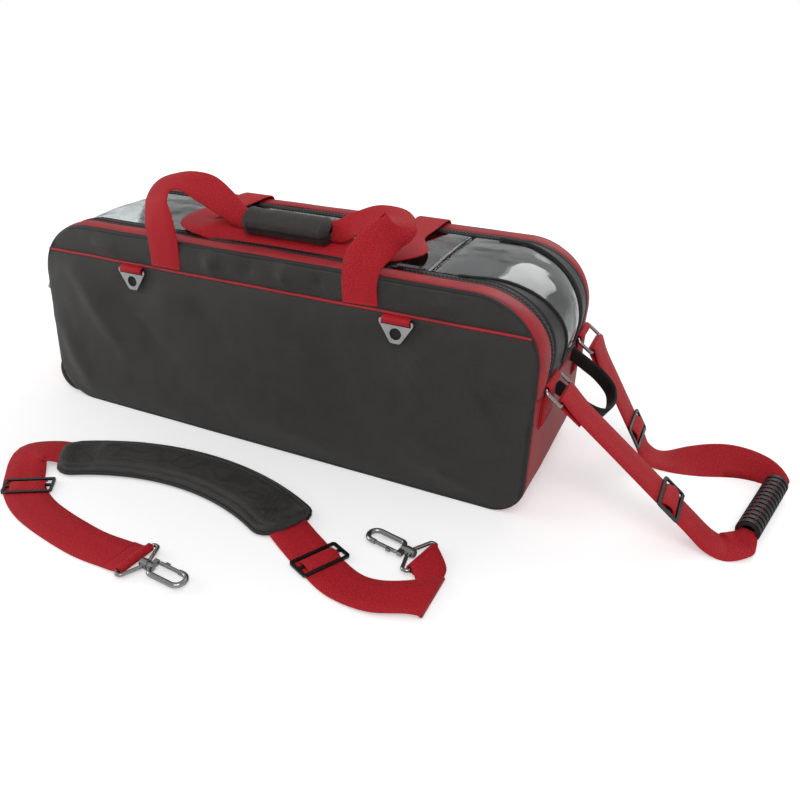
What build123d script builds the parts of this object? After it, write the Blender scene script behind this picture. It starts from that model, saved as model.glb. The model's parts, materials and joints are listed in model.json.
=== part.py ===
"""Three-ball bowling tote with wheels, a clear top, carry handles and a shoulder strap.

Millimetres. +X is the pull-strap end, -Y the front, +Z up. The origin is at the centre of
the bag's footprint, on the floor.
"""

from build123d import *
from math import atan2, cos, hypot, radians, sin, tan
import os

os.makedirs("parts", exist_ok=True)

# Overall sizes of the bag
bag_length = 684.0
bag_width = 232.0
bag_height = 260.0
top_radius = 78.0
left_foot_radius = 55.0
right_foot_radius = 40.0

# Sheet goods
panel_gauge = 3.0
gusset_gauge = 2.5
film_gauge = 1.2
webbing_gauge = 2.5
webbing_width = 50.0
seam_gap = 0.4

# Where the panels and seams lie
seam_height = 220.0
seam_piping = 4.0
edge_piping = 4.5
gusset_width = 22.0
tape_width = 14.0
end_seam_height = 150.0
end_tape_width = 11.0
flap_crease = 200.0
binding_width = 6.0

# Ball cradle
ball_diameter = 218.0
ball_gap = 4.0
foam_height = 40.0
foam_margin = 9.0

# Wheels
wheel_radius = 29.0
wheel_width = 24.0
wheel_inset = 16.0
hub_radius = 20.0
bearing_radius = 11.0
bearing_width = 7.0
axle_radius = 4.0
running_gap = 0.05
housing_wall = 2.0
housing_gap = 3.0

# Carry handles
handle_spread = 135.0
handle_width = 45.0
handle_loop = 35.0
front_leg_top = 330.0
grip_length = 120.0
grip_radius = 16.0
grip_webbing = 22.0
grip_height = 283.0
grip_setback = 54.0
back_bar_width = 38.0
back_bar_setback = 92.0
clear_of_top = 4.0

# Metal rings
wire_radius = 2.2
ring_gap = 0.3
pull_ring_span = 23.0
pull_ring_drop = 37.0
front_ring_y = -70.0
rear_ring_y = 85.0
ring_height = 155.0
left_ring_height = 178.0
tri_ring_width = 48.0
tri_ring_height = 29.0
tri_ring_gauge = 3.0
tri_ring_hole = 7.0
tri_tab_width = 34.0
tri_ring_xs = (-188.0, 181.0)

# Pull strap
front_reach = 540.0
rear_reach = 450.0
pull_grip_radius = 13.0
pull_grip_bore = 8.5
pull_grip_length = 122.0
pull_grip_ribs = 13
pull_grip_start = (569.0, -50.0)
pull_grip_end = (596.0, 78.0)
grip_core_width = 14.0
grip_core_gauge = 3.0

# Shoulder strap, lying on the floor in front
pad_chord = (-188.0, -255.0), (-42.0, -213.0), (100.0, -247.0)
pad_width = 66.0
pad_gauge = 15.0
left_route = [(-195, -255), (-238, -268), (-190, -346), (-150, -368), (-70, -382), (5, -384)]
right_route = [(105, -252), (140, -274), (214, -311), (262, -309), (284, -285), (272, -243)]
adjuster_place = {"left": 75.0, "right": 40.0}
hook_height = 7.0
hook_length = 48.0
hook_width = 19.0
hook_wire = 3.0
boss_x = 15.0
boss_radius = 5.5
boss_length = 8.0
post_radius = 2.6
gate_wire = 2.2
gate_root = 8.5
gate_nose = 34.0

half_length = bag_length / 2
half_width = bag_width / 2
gusset_front = half_width - panel_gauge
tape_front = gusset_front - gusset_width
window_front = tape_front - tape_width


def save(piece, name):
    """Label a finished piece and write its STEP file."""
    piece.label = name
    export_step(piece, f"parts/{name}.step")


def side_outline(inset):
    """The bag's side view, set in from its outside by a distance."""
    with BuildSketch() as outline:
        with Locations((0, bag_height / 2)):
            Rectangle(bag_length - 2 * inset, bag_height - 2 * inset)
        fillet(outline.vertices().group_by(Axis.Y)[-1], top_radius - inset)
        feet = outline.vertices().group_by(Axis.Y)[0].sort_by(Axis.X)
        fillet(feet[0], left_foot_radius - inset)
        feet = outline.vertices().group_by(Axis.Y)[0].sort_by(Axis.X)
        fillet(feet[-1], right_foot_radius - inset)
    return outline.sketch


def outline_slab(front, back, inset):
    """A slab of the side view between two y values."""
    with BuildPart() as slab:
        with BuildSketch(Plane.XZ.offset(-back)):
            add(side_outline(inset))
        extrude(amount=back - front)
    return slab.part


def outline_band(front, back, outer, inner):
    """A band that follows the side view's edge between two y values."""
    with BuildPart() as band:
        with BuildSketch(Plane.XZ.offset(-back)):
            add(side_outline(outer))
            add(side_outline(inner), mode=Mode.SUBTRACT)
        extrude(amount=back - front)
    return band.part


def block(low, high):
    """A box between two corners, for adding or cutting."""
    size = [h - l for l, h in zip(low, high)]
    middle = tuple((h + l) / 2 for l, h in zip(low, high))
    with BuildPart() as solid:
        with Locations(middle):
            Box(*size)
    return solid.part


def strip_outline(route, width):
    """Corner points of a flat strip of even width along a route in plan."""
    left, right = [], []
    for i, (x, y) in enumerate(route):
        before = route[max(i - 1, 0)]
        after = route[min(i + 1, len(route) - 1)]
        into = atan2(y - before[1], x - before[0]) if i else None
        out = atan2(after[1] - y, after[0] - x) if i < len(route) - 1 else None
        into, out = (out if into is None else into), (into if out is None else out)
        turn = (out - into + 3 * radians(180)) % radians(360) - radians(180)
        normal = into + turn / 2 + radians(90)
        reach = width / 2 / cos(turn / 2)
        left.append((x + reach * cos(normal), y + reach * sin(normal)))
        right.append((x - reach * cos(normal), y - reach * sin(normal)))
    return left + right[::-1]


# ---------------------------------------------------------------- soft shell of the bag

wheel_x = -half_length + wheel_inset
wheel_y = gusset_front - housing_wall - 1.5 - wheel_width / 2
housing_right = wheel_x + wheel_radius + housing_gap + housing_wall
housing_top = 2 * wheel_radius + housing_gap + housing_wall
housing_inner = wheel_y - wheel_width / 2 - 1.5 - housing_wall

with BuildPart() as front_lower_panel:
    add(outline_slab(-half_width, -half_width + panel_gauge, edge_piping))
    add(block((-bag_length, -bag_width, seam_height), (bag_length, bag_width, bag_height * 2)),
        mode=Mode.SUBTRACT)
save(front_lower_panel.part, "front_lower_panel")

with BuildPart() as front_upper_band:
    add(outline_slab(-half_width, -half_width + panel_gauge, edge_piping))
    add(block((-bag_length, -bag_width, -bag_height), (bag_length, bag_width, seam_height)),
        mode=Mode.SUBTRACT)
save(front_upper_band.part, "front_upper_band")

with BuildPart() as back_panel:
    add(outline_slab(half_width - panel_gauge, half_width, edge_piping))
save(back_panel.part, "back_panel")

for name, y in (("front_edge_piping", -half_width), ("back_edge_piping", half_width - panel_gauge)):
    with BuildPart() as edge_cord:
        add(outline_band(y, y + panel_gauge, 0, edge_piping))
    save(edge_cord.part, name)

# Red piping over the seam between the lower panel and the upper band
seam_half = half_length - edge_piping - 4
seam_proud = 2.5
with BuildPart() as seam_cord:
    with Locations((0, -half_width - seam_proud / 2, seam_height)):
        Box(2 * seam_half, seam_proud, seam_piping)
    fillet(seam_cord.edges().filter_by(Axis.X).group_by(Axis.Y)[0], 1.2)
save(seam_cord.part, "front_seam_piping")

left_corner = -half_length + left_foot_radius
right_corner = half_length - right_foot_radius
wheel_wells = [
    block((-bag_length, sign * housing_inner if sign > 0 else -gusset_front, -1),
          (housing_right, gusset_front if sign > 0 else -housing_inner, housing_top))
    for sign in (-1, 1)
]

with BuildPart() as bottom_panel:
    add(outline_band(-gusset_front, gusset_front, 0, gusset_gauge))
    add(block((left_corner, -bag_width, -1), (right_corner, bag_width, gusset_gauge + 1)),
        mode=Mode.INTERSECT)
    add(wheel_wells, mode=Mode.SUBTRACT)
save(bottom_panel.part, "bottom_panel")

with BuildPart() as left_end_panel:
    add(outline_band(-gusset_front, gusset_front, 0, gusset_gauge))
    add(block((-bag_length, -bag_width, -1), (left_corner, bag_width, end_seam_height)),
        mode=Mode.INTERSECT)
    add(wheel_wells, mode=Mode.SUBTRACT)
save(left_end_panel.part, "left_end_panel")

with BuildPart() as right_end_panel:
    add(outline_band(-gusset_front, gusset_front, 0, gusset_gauge))
    add(block((right_corner, -bag_width, -1), (bag_length, bag_width, end_seam_height)),
        mode=Mode.INTERSECT)
save(right_end_panel.part, "right_end_panel")

above_ends = block((-bag_length, -bag_width, end_seam_height), (bag_length, bag_width, 2 * bag_height))
for name, low in (("front_gusset", -gusset_front), ("back_gusset", tape_front)):
    with BuildPart() as gusset:
        add(outline_band(low, low + gusset_width, 0, gusset_gauge))
        add(above_ends, mode=Mode.INTERSECT)
    save(gusset.part, name)

# Zipper tape: two long runs joined across the right end
with BuildPart() as zipper_tape:
    add(outline_band(-tape_front, tape_front, 0, gusset_gauge))
    add(above_ends, mode=Mode.INTERSECT)
    add(block((-bag_length, -window_front, end_seam_height - 1), (0, window_front, 2 * bag_height)),
        mode=Mode.SUBTRACT)
    add(block((-1, -window_front, end_seam_height + end_tape_width),
              (bag_length, window_front, 2 * bag_height)), mode=Mode.SUBTRACT)
save(zipper_tape.part, "zipper_tape")

with BuildPart() as clear_window:
    add(outline_band(-window_front, window_front, 0, film_gauge))
    add(block((-bag_length, -bag_width, end_seam_height), (flap_crease, bag_width, 2 * bag_height)),
        mode=Mode.INTERSECT)
save(clear_window.part, "clear_window")

# End flap of the clear top, folding up at the crease, with a bound lower edge
flap_front = window_front - seam_gap
flap_foot = end_seam_height + end_tape_width + seam_gap
with BuildPart() as clear_end_flap:
    add(outline_band(-flap_front, flap_front, 0, film_gauge))
    add(block((flap_crease + seam_gap, -bag_width, flap_foot + binding_width),
              (bag_length, bag_width, 2 * bag_height)), mode=Mode.INTERSECT)
save(clear_end_flap.part, "clear_end_flap")

with BuildPart() as flap_binding:
    add(outline_band(-flap_front, flap_front, 0, gusset_gauge))
    add(block((flap_crease, -bag_width, flap_foot), (bag_length, bag_width, flap_foot + binding_width)),
        mode=Mode.INTERSECT)
save(flap_binding.part, "flap_binding")

# ---------------------------------------------------------------- inside the bag

board_gauge = 3.0
board_top = gusset_gauge + board_gauge
board_left = max(housing_right, left_corner) + 2
with BuildPart() as base_board:
    with BuildSketch(Plane.XY.offset(gusset_gauge)):
        with Locations(((board_left + right_corner) / 2, 0)):
            RectangleRounded(right_corner - board_left, 2 * gusset_front - 4, 12)
    extrude(amount=board_gauge)
save(base_board.part, "base_board")

ball_radius = ball_diameter / 2
ball_pitch = ball_diameter + ball_gap
ball_seat = board_top + 6
foam_left, foam_right = left_corner - 12, right_corner + 8
with BuildPart() as ball_cradle:
    add(block((foam_left, -gusset_front + foam_margin, board_top),
              (foam_right, gusset_front - foam_margin, board_top + foam_height)))
    with Locations([(i * ball_pitch, 0, ball_seat + ball_radius) for i in (-1, 0, 1)]):
        Sphere(ball_radius + 1, mode=Mode.SUBTRACT)
    add([block((foam_left - 1, sign * housing_inner - foam_margin, 0),
               (housing_right + 2, sign * housing_inner + foam_margin + 60, bag_height))
         if sign > 0 else
         block((foam_left - 1, -housing_inner - foam_margin - 60, 0),
               (housing_right + 2, -housing_inner + foam_margin, bag_height))
         for sign in (-1, 1)], mode=Mode.SUBTRACT)
save(ball_cradle.part, "ball_cradle")

# ---------------------------------------------------------------- wheels and housings

for side, sign in (("front", -1), ("back", 1)):
    across = Plane.XZ.offset(-sign * wheel_y)

    with BuildPart() as housing:
        low_y, high_y = sorted((sign * housing_inner, sign * gusset_front))
        add(block((-half_length, low_y, 0), (housing_right, high_y, housing_top)))
        add(block((-bag_length, low_y + housing_wall, -1),
                  (housing_right - housing_wall, high_y - housing_wall, housing_top - housing_wall)),
            mode=Mode.SUBTRACT)
        # the outer corner follows the bag's rounded foot
        add(outline_slab(-bag_width, bag_width, 0), mode=Mode.INTERSECT)
        with BuildSketch(across):
            with Locations((wheel_x, wheel_radius)):
                Circle(axle_radius)
        extrude(amount=wheel_width, both=True, mode=Mode.SUBTRACT)
    save(housing.part, f"{side}_wheel_housing")

    with BuildPart() as tyre:
        with BuildSketch(across):
            with Locations((wheel_x, wheel_radius)):
                Circle(wheel_radius)
                Circle(hub_radius, mode=Mode.SUBTRACT)
        extrude(amount=wheel_width / 2, both=True)
        fillet(tyre.edges().filter_by(GeomType.CIRCLE).sort_by(SortBy.RADIUS)[-2:], 5)
    save(tyre.part, f"{side}_wheel_tyre")

    with BuildPart() as hub:
        with BuildSketch(across):
            with Locations((wheel_x, wheel_radius)):
                Circle(hub_radius)
        extrude(amount=wheel_width / 2 - 1, both=True)
        for outward in (1, -1):
            face = across.offset(outward * (wheel_width / 2 - 1 - bearing_width))
            with BuildSketch(face):
                with Locations((wheel_x, wheel_radius)):
                    Circle(bearing_radius)
            extrude(amount=outward * wheel_width, mode=Mode.SUBTRACT)
        with BuildSketch(across):
            with Locations((wheel_x, wheel_radius)):
                Circle(axle_radius + 1)
                with PolarLocations(15.5, 6):
                    Circle(2.5)
        extrude(amount=wheel_width, both=True, mode=Mode.SUBTRACT)
    save(hub.part, f"{side}_wheel_hub")

    with BuildPart() as bearings:
        for outward in (1, -1):
            with BuildSketch(across.offset(outward * (wheel_width / 2 - 1 - bearing_width / 2))):
                with Locations((wheel_x, wheel_radius)):
                    Circle(bearing_radius)
                    Circle(axle_radius + running_gap, mode=Mode.SUBTRACT)
            extrude(amount=bearing_width / 2, both=True)
    save(bearings.part, f"{side}_wheel_bearings")

axle_half = (gusset_front - housing_inner) / 2 - 0.2
with BuildPart() as axles:
    for sign in (-1, 1):
        with BuildSketch(Plane.XZ.offset(-sign * (gusset_front + housing_inner) / 2)):
            with Locations((wheel_x, wheel_radius)):
                Circle(axle_radius)
        extrude(amount=axle_half, both=True)
save(axles.part, "wheel_axles")

# ---------------------------------------------------------------- zipper sliders

slider_size = (13.0, 11.0, 3.5)
tape_middle = (window_front + tape_front) / 2
for name, x, turn in (("left_zip_slider", 146.0, -1), ("right_zip_slider", 166.0, 1)):
    with BuildPart() as slider:
        base = bag_height + ring_gap
        with Locations((x, -tape_middle, base + slider_size[2] / 2)):
            Box(*slider_size)
        fillet(slider.edges().filter_by(Axis.Z), 2)
        with BuildSketch(Plane.XY.offset(base + slider_size[2])):
            with Locations((x + turn * 15, -tape_middle)):
                SlotOverall(34, 8)
                with Locations((turn * 11, 0)):
                    Circle(2, mode=Mode.SUBTRACT)
        extrude(amount=1.6)
    save(slider.part, name)

# ---------------------------------------------------------------- carry handles

leg_foot = seam_height + 4
leg_plane = half_width + seam_gap + webbing_gauge / 2
with BuildPart() as front_handle:
    for x in (-handle_spread, handle_spread):
        add(block((x - handle_width / 2, -leg_plane - webbing_gauge / 2, leg_foot),
                  (x + handle_width / 2, -leg_plane + webbing_gauge / 2, front_leg_top)))
    loop_x = handle_spread + handle_loop
    bar_y = -half_width + grip_setback
    with BuildSketch(Plane.XY.offset(grip_height - grip_webbing / 2)):
        with BuildLine() as loop:
            FilletPolyline(
                (-handle_spread, -leg_plane), (-loop_x, -leg_plane), (-loop_x, bar_y),
                (loop_x, bar_y), (loop_x, -leg_plane), (handle_spread, -leg_plane), radius=24)
        trace(line_width=webbing_gauge)
    extrude(amount=grip_webbing)
save(front_handle.part, "front_handle_webbing")

grip_middle = 12.0
with BuildPart() as wrap:
    with BuildSketch(Plane.YZ.offset(grip_middle - grip_length / 2)):
        with Locations((bar_y, grip_height)):
            Circle(grip_radius)
            Rectangle(webbing_gauge + 2 * ring_gap, grip_webbing + 2 * ring_gap, mode=Mode.SUBTRACT)
    extrude(amount=grip_length)
    fillet(wrap.edges().filter_by(GeomType.CIRCLE), 3)
save(wrap.part, "grip_wrap")

back_low = bag_height + clear_of_top
with BuildPart() as back_handle:
    for x in (-handle_spread, handle_spread):
        add(block((x - handle_width / 2, leg_plane - webbing_gauge / 2, leg_foot),
                  (x + handle_width / 2, leg_plane + webbing_gauge / 2, back_low + webbing_gauge)))
        add(block((x - handle_width / 2, -half_width + back_bar_setback - back_bar_width / 2, back_low),
                  (x + handle_width / 2, leg_plane, back_low + webbing_gauge)))
    add(block((-handle_spread, -half_width + back_bar_setback - back_bar_width / 2, back_low),
              (handle_spread, -half_width + back_bar_setback + back_bar_width / 2,
               back_low + webbing_gauge)))
save(back_handle.part, "back_handle_webbing")

# ---------------------------------------------------------------- rings and their tabs

loop_inner = wire_radius + ring_gap
loop_outer = loop_inner + webbing_gauge
ring_inner_width = webbing_width + 4


def wire_ring(frame, width, span):
    """A rectangular wire ring: one bar on the frame's Y axis, the other a span along its X."""
    half = width / 2 + wire_radius
    with BuildPart() as ring:
        with BuildLine(frame):
            path = FilletPolyline((0, -half), (span, -half), (span, half), (0, half),
                                  radius=2 * wire_radius, close=True)
        with BuildSketch(Plane(origin=path @ 0, z_dir=path % 0)):
            Circle(wire_radius)
        sweep()
    return ring.part


def bar_loop(x, y, z, width, gauge=webbing_gauge):
    """Webbing folded round a bar along Y."""
    with BuildPart() as fold:
        with BuildSketch(Plane.XZ.offset(-y - width / 2)):
            with Locations((x, z)):
                Circle(loop_inner + gauge)
                Circle(loop_inner, mode=Mode.SUBTRACT)
        extrude(amount=width)
    return fold.part


bar_x = half_length + loop_outer + ring_gap
drop = radians(pull_ring_drop)
outer_bar = (bar_x + pull_ring_span * cos(drop), ring_height - pull_ring_span * sin(drop))
tab_tail = 48.0

with BuildPart() as pull_tabs:
    for y in (front_ring_y, rear_ring_y):
        tab_half = webbing_width / 2 if y < 0 else webbing_width / 2 - 2
        add(bar_loop(bar_x, y, ring_height, 2 * tab_half))
        with Locations((half_length + webbing_gauge / 2, y, ring_height - tab_tail / 2 - loop_inner - 1)):
            Box(webbing_gauge, 2 * tab_half, tab_tail)
save(pull_tabs.part, "pull_ring_tabs")

for name, y in (("front_pull_ring", front_ring_y), ("rear_pull_ring", rear_ring_y)):
    frame = Plane(origin=(bar_x, y, ring_height), x_dir=(cos(drop), 0, -sin(drop)),
                  z_dir=(sin(drop), 0, cos(drop)))
    save(wire_ring(frame, ring_inner_width, pull_ring_span), name)

with BuildPart() as left_tab:
    add(bar_loop(-bar_x, front_ring_y, left_ring_height, webbing_width))
    with Locations((-half_length - webbing_gauge / 2, front_ring_y,
                    left_ring_height - tab_tail / 2 - loop_inner - 1)):
        Box(webbing_gauge, webbing_width, tab_tail)
save(left_tab.part, "left_ring_tab")

left_drop = radians(60)
left_frame = Plane(origin=(-bar_x, front_ring_y, left_ring_height),
                   x_dir=(-cos(left_drop), 0, -sin(left_drop)),
                   z_dir=(-sin(left_drop), 0, cos(left_drop)))
save(wire_ring(left_frame, ring_inner_width, 30), "left_end_ring")

# Triangular rings under the front seam, each on a short tab
tri_gauge = 1.7
tri_inner = 2.9
tri_outer = tri_inner + tri_gauge
tri_bar_z = seam_height - seam_piping / 2 - tri_outer
tri_bar_y = -half_width - tri_outer - ring_gap / 2
with BuildPart() as front_tabs:
    for x in tri_ring_xs:
        with BuildSketch(Plane.YZ.offset(x - tri_tab_width / 2)):
            with Locations((tri_bar_y, tri_bar_z)):
                Circle(tri_outer)
            with Locations((-half_width - 1, tri_bar_z + tri_outer / 2)):
                Rectangle(2, tri_outer)
            with Locations((tri_bar_y, tri_bar_z)):
                Circle(tri_inner, mode=Mode.SUBTRACT)
        extrude(amount=tri_tab_width)
save(front_tabs.part, "front_ring_tabs")

bar_half = 1.9
slot_height = tri_outer + 0.6 - bar_half
for name, x in (("left_tri_ring", tri_ring_xs[0]), ("right_tri_ring", tri_ring_xs[1])):
    with BuildPart() as tri_ring:
        with BuildSketch(Plane.XZ.offset(-tri_bar_y)) as plate:
            with BuildLine():
                Polyline((x - tri_ring_width / 2, tri_bar_z + bar_half),
                         (x + tri_ring_width / 2, tri_bar_z + bar_half),
                         (x + 6, tri_bar_z + bar_half - tri_ring_height),
                         (x - 6, tri_bar_z + bar_half - tri_ring_height), close=True)
            make_face()
            fillet(plate.vertices(), 4)
            with Locations((x, tri_bar_z - bar_half - slot_height / 2)):
                Rectangle(tri_tab_width + 2, slot_height, mode=Mode.SUBTRACT)
            with Locations((x, tri_bar_z - 15.5)):
                Circle(tri_ring_hole, mode=Mode.SUBTRACT)
        extrude(amount=tri_ring_gauge / 2, both=True)
    save(tri_ring.part, name)

# Black grab loop at the middle of the right end
grab_low = Vector(half_length + 0.1, -26, 130)
grab_high = Vector(half_length + 0.1, 38, 146)
grab_out = Vector(cos(radians(30)), 0, -sin(radians(30)))
grab_across = (grab_high - grab_low).normalized()
grab_span = (grab_high - grab_low).length
grab_plane = Plane(origin=grab_low, x_dir=grab_across, z_dir=grab_across.cross(grab_out))
with BuildPart() as grab_loop:
    with BuildSketch(grab_plane):
        with BuildLine():
            FilletPolyline((0, 0), (0, 68), (grab_span, 68), (grab_span, 0), radius=26)
        trace(line_width=4)
    extrude(amount=9, both=True)
    add(outline_slab(-bag_width, bag_width, 0), mode=Mode.SUBTRACT)
save(grab_loop.part, "end_grab_loop")

# ---------------------------------------------------------------- pull strap


def leg_profile(reach):
    """Side view of a webbing leg from the ring's outer bar down to the floor, and its fall."""
    x, z = outer_bar
    half = webbing_gauge / 2
    fall = atan2(z - half, reach - x)
    along = (cos(fall), -sin(fall))
    across = (half * sin(fall), half * cos(fall))
    bend = half * tan(fall / 2)
    start = (x + along[0] * (loop_inner + 1), z + along[1] * (loop_inner + 1))
    points = [(start[0] + across[0], start[1] + across[1]),
              (start[0] - across[0], start[1] - across[1]),
              (reach - across[0] + along[0] * bend, 0),
              (reach + webbing_gauge, 0), (reach + webbing_gauge, webbing_gauge),
              (reach + across[0] - along[0] * bend, webbing_gauge)]
    return points, fall


grip_from = Vector(*pull_grip_start, pull_grip_radius)
grip_to = Vector(*pull_grip_end, pull_grip_radius)
grip_axis = (grip_to - grip_from).normalized()
grip_centre = (grip_from + grip_to) / 2
grip_plane = Plane(origin=grip_centre, x_dir=Vector(0, 0, 1).cross(grip_axis), z_dir=grip_axis)
core_half = pull_grip_length / 2 + 3

with BuildPart() as pull_webbing:
    for y, reach, grip_side in ((front_ring_y, front_reach, -1), (rear_ring_y, rear_reach, 1)):
        points, fall = leg_profile(reach)
        add(bar_loop(outer_bar[0], y, outer_bar[1], webbing_width))
        with BuildSketch(Plane.XZ.offset(-y - webbing_width / 2)):
            with BuildLine():
                Polyline(*points, close=True)
            make_face()
        extrude(amount=webbing_width)
        with BuildSketch(Plane.XZ.offset(-y - webbing_width)):
            with Locations(outer_bar):
                Circle(loop_inner)
        extrude(amount=2 * webbing_width, mode=Mode.SUBTRACT)
        # along the floor to the end of the grip
        end = grip_centre + grip_axis * (grip_side * (core_half + 5))
        far = end.X + 12
        add(block((reach - webbing_gauge, y - webbing_width / 2, 0),
                  (far, y + webbing_width / 2, webbing_gauge)))
        low, high = sorted((end.Y - 5, y + grip_side * 2))
        add(block((end.X - 12, low, 0), (far, high + 1, webbing_gauge)))
        add(block((end.X - 10, end.Y - 5, 0), (end.X + 10, end.Y + 5,
                                              pull_grip_radius + grip_core_gauge / 2)))
    # the webbing leaves the grip's tube clear and runs on through it, folded narrow
    with BuildSketch(grip_plane):
        Circle(pull_grip_radius + seam_gap)
    extrude(amount=pull_grip_length / 2 + seam_gap, both=True, mode=Mode.SUBTRACT)
    with BuildSketch(grip_plane):
        Rectangle(grip_core_width, grip_core_gauge)
    extrude(amount=core_half + 4, both=True)
save(pull_webbing.part, "pull_webbing")

with BuildPart() as pull_grip:
    with BuildSketch(grip_plane):
        Circle(pull_grip_radius - 1.2)
    extrude(amount=pull_grip_length / 2, both=True)
    rib_pitch = pull_grip_length / pull_grip_ribs
    for i in range(pull_grip_ribs):
        with BuildSketch(grip_plane.offset((i + 0.5) * rib_pitch - pull_grip_length / 2)):
            Circle(pull_grip_radius)
        extrude(amount=rib_pitch * 0.3, both=True)
    with BuildSketch(grip_plane):
        Circle(pull_grip_bore)
    extrude(amount=pull_grip_length, both=True, mode=Mode.SUBTRACT)
save(pull_grip.part, "pull_grip")


def adjuster(frame, width, length=30.0, gauge=2.6):
    """A three-bar adjuster lying on the frame's plane, its bars along the frame's Y."""
    with BuildPart() as slide:
        with BuildSketch(frame):
            RectangleRounded(length, width + 10, 4)
            with Locations((-length / 4 + 1, 0), (length / 4 - 1, 0)):
                Rectangle(length / 2 - 5.5, width + 3, mode=Mode.SUBTRACT)
        extrude(amount=gauge)
    return slide.part


for name, y, reach, place in (("front_pull_adjuster", front_ring_y, front_reach, 0.70),
                              ("rear_pull_adjuster", rear_ring_y, rear_reach, 0.74)):
    fall = leg_profile(reach)[1]
    along = Vector(cos(fall), 0, -sin(fall))
    up = Vector(sin(fall), 0, cos(fall))
    length = hypot(reach - outer_bar[0], outer_bar[1] - webbing_gauge / 2)
    spot = Vector(outer_bar[0], y, outer_bar[1]) + along * (length * place)
    frame = Plane(origin=spot + up * (webbing_gauge / 2 + ring_gap), x_dir=along, z_dir=up)
    save(adjuster(frame, webbing_width), name)

# ---------------------------------------------------------------- shoulder strap

with BuildPart() as pad:
    with BuildSketch():
        SlotArc(ThreePointArc(*pad_chord, mode=Mode.PRIVATE), pad_width)
    extrude(amount=pad_gauge)
    fillet(pad.faces().sort_by(Axis.Z)[-1].edges(), 5)
save(pad.part, "shoulder_pad")


def hook_frame(x, y, heading):
    """Plane for a snap hook: X along the hook, with the bar of its loop on Y."""
    turn = radians(heading)
    return Plane(origin=(x, y, hook_height), x_dir=(cos(turn), sin(turn), 0), z_dir=(0, 0, 1))


hooks = {
    "left": (hook_frame(5.0, -384.0, -6.0), left_route),
    "right": (hook_frame(272.0, -243.0, 168.0), right_route),
}

for side, (frame, route) in hooks.items():
    across = Plane(origin=frame.origin, x_dir=frame.x_dir, z_dir=-frame.y_dir)
    with BuildPart() as webbing:
        with BuildSketch():
            Polygon(*strip_outline(route, webbing_width), align=None)
        extrude(amount=webbing_gauge)
        add(pad.part, mode=Mode.SUBTRACT)
        with BuildSketch(across):
            Circle(loop_outer)
        extrude(amount=webbing_width / 2, both=True)
        with BuildSketch(across):
            Circle(loop_inner)
        extrude(amount=webbing_width, both=True, mode=Mode.SUBTRACT)
    save(webbing.part, f"{side}_strap_webbing")

    # the loop narrows from its bar to a boss that holds the swivel post
    bar_end = webbing_width / 2 + wire_radius + 1
    with BuildPart() as loop:
        with BuildLine(frame):
            path = FilletPolyline((0, -bar_end), (loop_outer + 2, -bar_end), (boss_x, -7), (boss_x, 7),
                                  (loop_outer + 2, bar_end), (0, bar_end), radius=3, close=True)
        with BuildSketch(Plane(origin=path @ 0, z_dir=path % 0)):
            Circle(wire_radius)
        sweep()
        along = Plane(origin=frame.origin, x_dir=frame.y_dir, z_dir=frame.x_dir)
        with BuildSketch(along.offset(boss_x - 3)):
            Circle(boss_radius)
        extrude(amount=boss_length)
        with BuildSketch(along.offset(boss_x - 10)):
            Circle(post_radius + running_gap)
        extrude(amount=boss_length + 20, mode=Mode.SUBTRACT)
    save(loop.part, f"{side}_hook_loop")

    # swivel post with its head inside the loop, then the open hook
    hook_root = boss_x - 3 + boss_length + ring_gap
    hook_tip = hook_root + hook_length
    arm = hook_width / 2
    with BuildPart() as hook:
        with BuildSketch(along.offset(boss_x - 3 - 2 - ring_gap)):
            Circle(post_radius + 1.6)
        extrude(amount=2)
        with BuildSketch(along.offset(boss_x - 3 - 1 - ring_gap)):
            Circle(post_radius)
        extrude(amount=boss_length + 1 + 2 * ring_gap)
        with BuildSketch(along.offset(hook_root)):
            Circle(boss_radius - 1)
            with Locations((arm / 2, 0)):
                Rectangle(arm + 3, 5)
        extrude(amount=gate_root - gate_wire - ring_gap)
        with BuildLine(frame):
            bend = FilletPolyline((hook_root + 2, 0), (hook_root + 9, -arm), (hook_tip, -arm),
                                  (hook_tip, arm), (hook_root + gate_nose, arm), radius=[5, 9, 9])
        with BuildSketch(Plane(origin=bend @ 0, z_dir=bend % 0)):
            Circle(hook_wire)
        sweep()
    save(hook.part, f"{side}_snap_hook")

    with BuildPart() as gate:
        with BuildSketch(along.offset(hook_root + gate_root)):
            with Locations((arm, 0)):
                Circle(gate_wire)
        extrude(amount=gate_nose - gate_root - ring_gap)
        with Locations(frame.from_local_coords((hook_root + gate_root, arm, 0))):
            Sphere(gate_wire)
        with BuildSketch(along.offset(hook_root + gate_root + 5)):
            with Locations((arm + gate_wire, 0)):
                RectangleRounded(3.5, 4, 1)
        extrude(amount=5)
    save(gate.part, f"{side}_hook_gate")

    start, end = (Vector(*route[i], webbing_gauge + ring_gap) for i in (1, 2))
    heading = (end - start).normalized()
    spot = start + heading * adjuster_place[side]
    save(adjuster(Plane(origin=spot, x_dir=heading, z_dir=(0, 0, 1)), webbing_width),
         f"{side}_strap_adjuster")
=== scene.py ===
"""Looks of a three-ball bowling tote: cloth, film, webbing, zip, trim, finishes and the stage.

Everything is in metres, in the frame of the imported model: +X is the pull-strap end, -Y the
front and +Z up. Lengths written in millimetres go through mm().
"""

import json
from math import atan2, cos, exp, hypot, pi, radians, sin

import bmesh
import bpy
from bpy.props import FloatProperty, FloatVectorProperty, PointerProperty
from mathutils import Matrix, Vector, noise


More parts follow.
